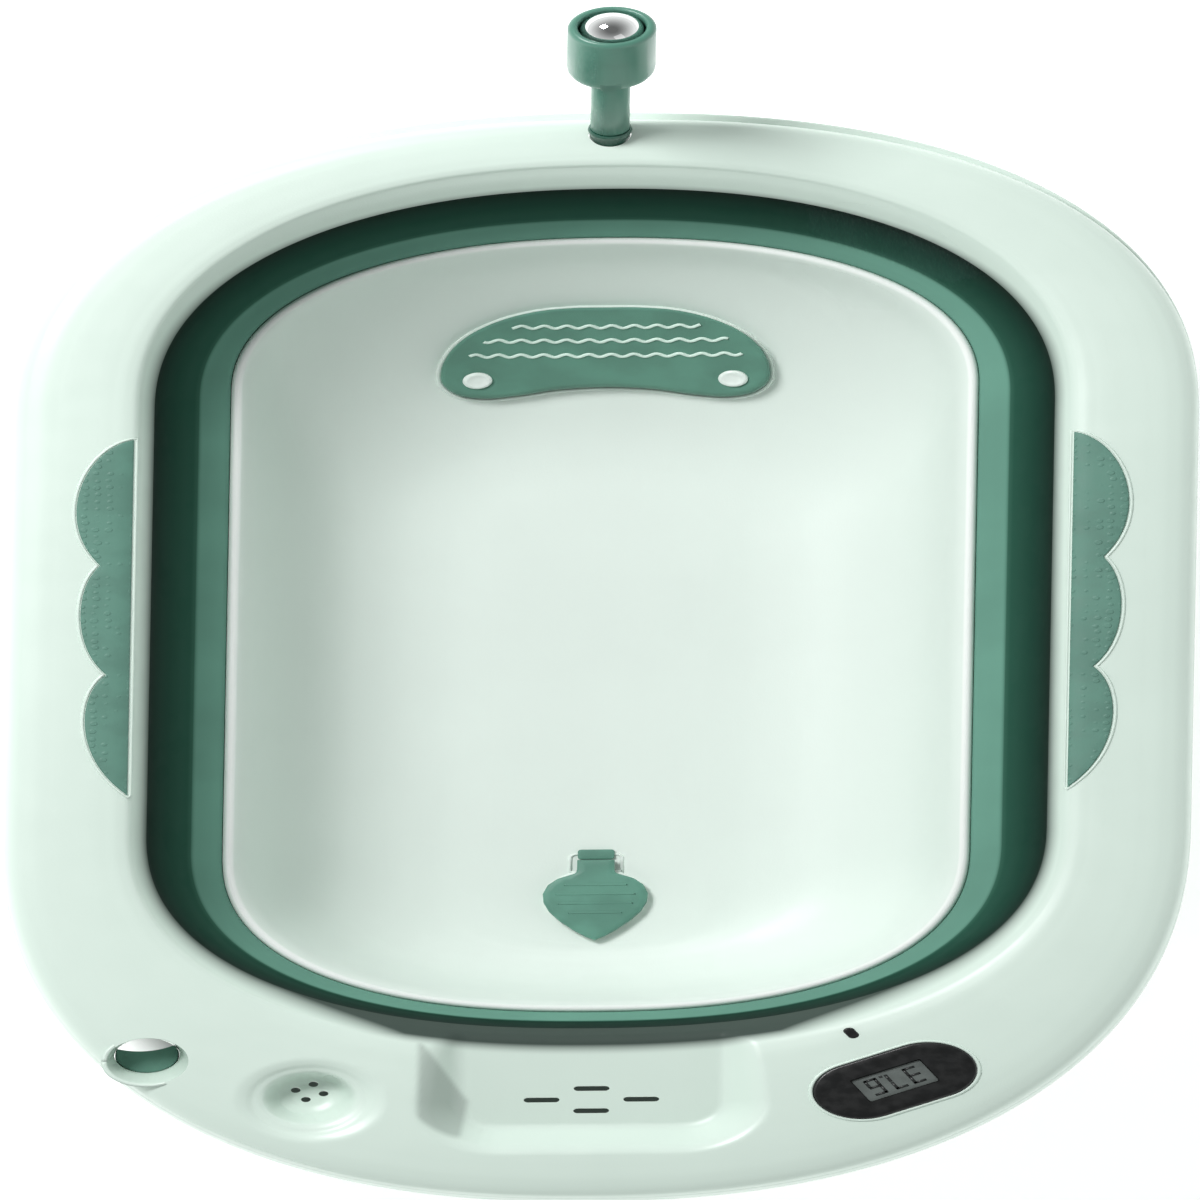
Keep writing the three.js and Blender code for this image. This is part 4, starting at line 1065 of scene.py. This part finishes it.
# ---- shower stand ----
def make_stand():
    tube = lathe("collar", [(7, -15.5), (8.7, -15.5), (8.8, 4), (9.2, 4.4), (9.5, 5.4), (9.3, 7.2), (8.7, 8),
                            (7.6, 8), (7, 7.4)], 96, ring=True)
    crease(lean(tube), 50)
    give(tube, "rim", "collar_plastic", "holder_socket")
    length, stem = STAND["length"], STAND["stem"] + 0.4
    shaft = lathe("shaft", [(0, -10.4), (6.1, -10.4), (6.5, -9.8), (6.5, 8.4), (stem - 0.8, 8.4), (stem, 9.4),
                            (stem, length - 11), (stem - 0.4, length - 9.6), (6, length - 2.8),
                            (5.5, length - 2), (0, length - 2)], 96)
    tongue = rounded(prism("tongue", rectangle(0, 0, 8, 11, radius=0.8), length - 3, length + 11.5), 1.0)
    post = join([shaft, tongue])
    crease(lean(post), 45)
    give(post, "stand", "stand_plastic", "holder_post")
    make_cup()
    level = length + STAND["cup_length"] - STAND["well"] + 0.3 + STAND["ball"]
    arc = np.linspace(-np.pi / 2, np.pi / 2, 60)
    radius = STAND["ball"]
    ball = lathe("ball", [(radius * math.cos(a), level + radius * math.sin(a)) for a in arc], 96)
    give(lean(ball), "stand_ball", "chrome", "holder_ball")


def make_cup():
    low, high = STAND["length"] + 1.4, STAND["length"] + STAND["cup_length"]
    outer, bore = STAND["cup"], STAND["bore"]
    profile = [(0, low), (outer - 8, low), (outer - 6.4, low + 0.6), (outer - 3.4, low + 3),
               (outer - 1.4, low + 6), (outer - 0.3, low + 10), (outer, low + 14), (outer, high - 3.6),
               (outer - 0.3, high - 1.9), (outer - 1.1, high - 0.6), (outer - 2.2, high), (bore + 1.2, high),
               (bore + 0.4, high - 0.5), (bore, high - 1.6), (bore, high - STAND["well"]),
               (0, high - STAND["well"])]
    cup = lathe("cup", profile, 96)
    slot = prism("cup_slot", rectangle(0, 0, 9, 60, radius=0.5), low - 3, low + 13)
    cut(cup, [slot])
    crease(lean(cup), 45)
    give(cup, "stand_cup", "stand_plastic", "holder_cup")


# ---- legs ----
def side_prism(name, outline, x, width):
    """An outline of (y, z) pushed along X, centred on x."""
    sides = [[(x + side * width / 2, y, z) for y, z in outline] for side in (1, -1)]
    return loft(name, [np.array(side, float) for side in sides])


def sunk_sides(thing, inset, depth):
    """Sinks a panel into each of the piece's two broad sides."""
    work = bmesh.new()
    work.from_mesh(thing.data)
    work.faces.ensure_lookup_table()
    broad = [face for face in work.faces if abs(face.normal.x) > 0.99 and len(face.verts) > 4]
    for face in broad:
        bmesh.ops.inset_region(work, faces=[face], thickness=inset * MM, depth=-depth * MM)
    work.to_mesh(thing.data)
    work.free()


def make_legs():
    for end_name, end, y in (("head", 1, LEG["head_y"]), ("foot", -1, LEG["foot_y"])):
        for side_name, side in SIDES:
            make_leg(f"{end_name}_{side_name}", side * LEG["x"], y, end)


def make_leg(tail, x, y, end):
    top = RIM_TOP - LEG["axis_depth"]
    eye, pad = LEG["eye"], LEG["pad"]
    crown = [(eye * math.cos(a), eye * math.sin(a)) for a in np.linspace(0, math.pi, 25)]
    low = -top + pad + 0.3
    shape = crown + [(-eye, -20), (-11, low + 30), (-12, low), (32, low), (26, low + 40), (14, -70)]
    leg = side_prism(f"leg_body_{tail}", [(y + end * a, top + z) for a, z in shape], x, LEG["width"])
    sunk_sides(leg, 3.2, 1.4)
    rounded(leg, 0.9, 30)
    lock = top - 34
    cut(leg, [prism("pocket", rectangle(x, y + end * 11.5, 10.8, 13, radius=1), lock - 7.5, lock + 7.5)])
    crease(leg, 40)
    give(leg, f"{tail}_leg", "rim_plastic", f"leg_{tail}")
    outline = rectangle(x, y + end * 10, LEG["width"] + 6, 50, radius=6, steps=8)
    sole = rounded(prism(f"sole_{tail}", outline, 0, pad), 1.3, 30)
    give(sole, f"{tail}_leg", "plug_tpe", f"foot_pad_{tail}")
    make_lock(tail, x, y + end * 12.4, lock, end)


def make_lock(tail, x, y, z, end):
    button = rounded(prism(f"lock_{tail}", rectangle(x, y, 10, 7, radius=0.4), z - 7, z + 7), 0.9)
    face = y + end * 3.5
    ridges = []
    for step in (-3, 0, 3):
        path = [(x - 3.2 + 0.4 * k, face, z + step) for k in range(17)]
        ridges.append(bead(f"ridge_{step}", path, 0.45, closed=False))
    give(join([button, *ridges]), f"{tail}_lock", "stand_plastic", f"leg_lock_{tail}")


# ---- CAD nodes that stay, with softened edges ----
EDGE_WIDTHS = {"drain_nut": 0.9, "battery_cover": 0.5, "thermometer_case": 0.6, "thermometer_board": 0.15,
               "thermometer_battery": 0.4, "cup_pivot_pin": 0.4}


def finish_kept_nodes():
    slots = {part["node"]: part["material_slot"] for part in frame["record"]["subparts"]}
    for name, node in frame["nodes"].items():
        if node.hide_render:
            continue
        node.data.materials.clear()
        node.data.materials.append(FINISHES[slots[name]].material)
        weld = node.modifiers.new("weld", "WELD")
        weld.merge_threshold = 0.01 * MM
        soften_edges(node, EDGE_WIDTHS.get(name, 0.5), 40)


# ---- floor, light and camera ----
SKY_STRENGTH = 0.9


def make_floor():
    """A pale floor with a painted soft shadow under the tub, which is also what the drain slots and holes
    show.
    """
    bpy.ops.mesh.primitive_plane_add(size=12, location=(0, SHIFT_Y * MM, 0))
    floor = bpy.context.object
    floor.name = "studio_floor"
    pale = Finish("studio_floor", (250, 251, 250), 0.9)
    spots = pale.nodes.new("ShaderNodeSeparateXYZ")
    pale.links.new(pale.place, spots.inputs["Vector"])
    total = None
    for axis, reach in (("X", 0.25), ("Y", 0.388)):
        share = pale.math("ABSOLUTE", pale.math("DIVIDE", spots.outputs[axis], reach))
        term = pale.math("POWER", share, 2.6)
        total = term if total is None else pale.math("ADD", total, term)
    # The floor's base and glow colours darken to a painted shadow under the tub.
    color = pale.ramp(total, linear(50, 57, 53), linear(*pale.color), at=(0.72, 0.99))
    pale.links.new(color, pale.shader.inputs["Base Color"])
    pale.links.new(color, pale.shader.inputs["Emission Color"])
    pale.shader.inputs["Specular IOR Level"].default_value = 0.1
    pale.shader.inputs["Emission Strength"].default_value = 0.6
    floor.data.materials.append(pale.material)


def make_sky():
    """Even light that is bright at the horizon and dimmer overhead."""
    studio = bpy.data.worlds.new("studio")
    studio.use_nodes = True
    nodes, links = studio.node_tree.nodes, studio.node_tree.links
    spots = nodes.new("ShaderNodeSeparateXYZ")
    links.new(nodes.new("ShaderNodeTexCoord").outputs["Generated"], spots.inputs["Vector"])
    ramp = nodes.new("ShaderNodeValToRGB")
    for element, place, level in zip(ramp.color_ramp.elements, (0.05, 0.95), (1.15, 0.2)):
        element.position = place
        element.color = (0.96 * level, level, 0.98 * level, 1)
    links.new(spots.outputs["Z"], ramp.inputs["Fac"])
    links.new(ramp.outputs["Color"], nodes["Background"].inputs["Color"])
    nodes["Background"].inputs["Strength"].default_value = SKY_STRENGTH
    bpy.context.scene.world = studio


def make_studio():
    make_floor()
    make_sky()
    softbox("key", (-1.2, 1.3, 2.4), (0, 0, 0.15), 0.9, 66)
    softbox("fill", (1.2, -1.6, 2.0), (0, 0, 0.15), 1.6, 3)
    settings = bpy.context.scene.view_settings
    settings.view_transform = "Standard"
    settings.look = "None"
    settings.exposure = 0.0
    settings.gamma = 1.0


def softbox(name, place, target, size, power):
    data = bpy.data.lights.new(name, "AREA")
    data.shape = "SQUARE"
    data.size = size
    data.energy = power
    light = new_object(name, data)
    light.location = place
    light.rotation_euler = (Vector(target) - Vector(place)).to_track_quat("-Z", "Y").to_euler()


# The photograph is an orthographic-looking top view, 6 degrees off the vertical, squeezed in height by
# about 1.78 and a little skewed. A sheared rig shows the true proportions that way.
VIEW_TILT = math.radians(6)
VIEW_WIDTH = 0.5106
VIEW_HEIGHT = 0.902
VIEW_SCALE = 1.2
LEAN_RIGHT = 0.0109
LEAN_UP = 0.0155
VIEW_CENTRE_UP = 0.04006
CAMERA_DISTANCE = 3.0


def make_camera():
    right = Vector((1, 0, 0))
    up = Vector((0, math.cos(VIEW_TILT), math.sin(VIEW_TILT)))
    back = right.cross(up)
    across = (right - LEAN_UP * up).normalized()
    along = (up - LEAN_RIGHT * right).normalized()
    cos_a, cos_b = VIEW_WIDTH / VIEW_SCALE, VIEW_HEIGHT / VIEW_SCALE
    first = cos_a * across + math.sqrt(1 - cos_a ** 2) * back
    second = cos_b * along + math.sqrt(1 - cos_b ** 2) * back
    middle = Vector((0, SHIFT_Y * MM, RIM_TOP * MM)) + VIEW_CENTRE_UP * along
    place = middle + CAMERA_DISTANCE * back
    columns = [first, second, back, place]
    data = bpy.data.cameras.new("camera")
    data.type = "ORTHO"
    data.ortho_scale = VIEW_SCALE
    data.clip_end = 20
    rig, camera = new_object("camera_rig", None), new_object("camera", data)
    camera.parent = rig
    rows = [[column[row] for column in columns] for row in range(3)]
    camera.matrix_parent_inverse = Matrix([*rows, [0, 0, 0, 1]])
    bpy.context.scene.camera = camera


def main():
    make_camera()
    surface = make_rim_pieces()
    make_grips(surface)
    make_thermometer(surface)
    make_wall()
    tray = make_tray()
    make_cushion(tray)
    make_drain()
    make_stand()
    make_legs()
    finish_kept_nodes()
    make_studio()


main()
bpy.context.view_layer.update()
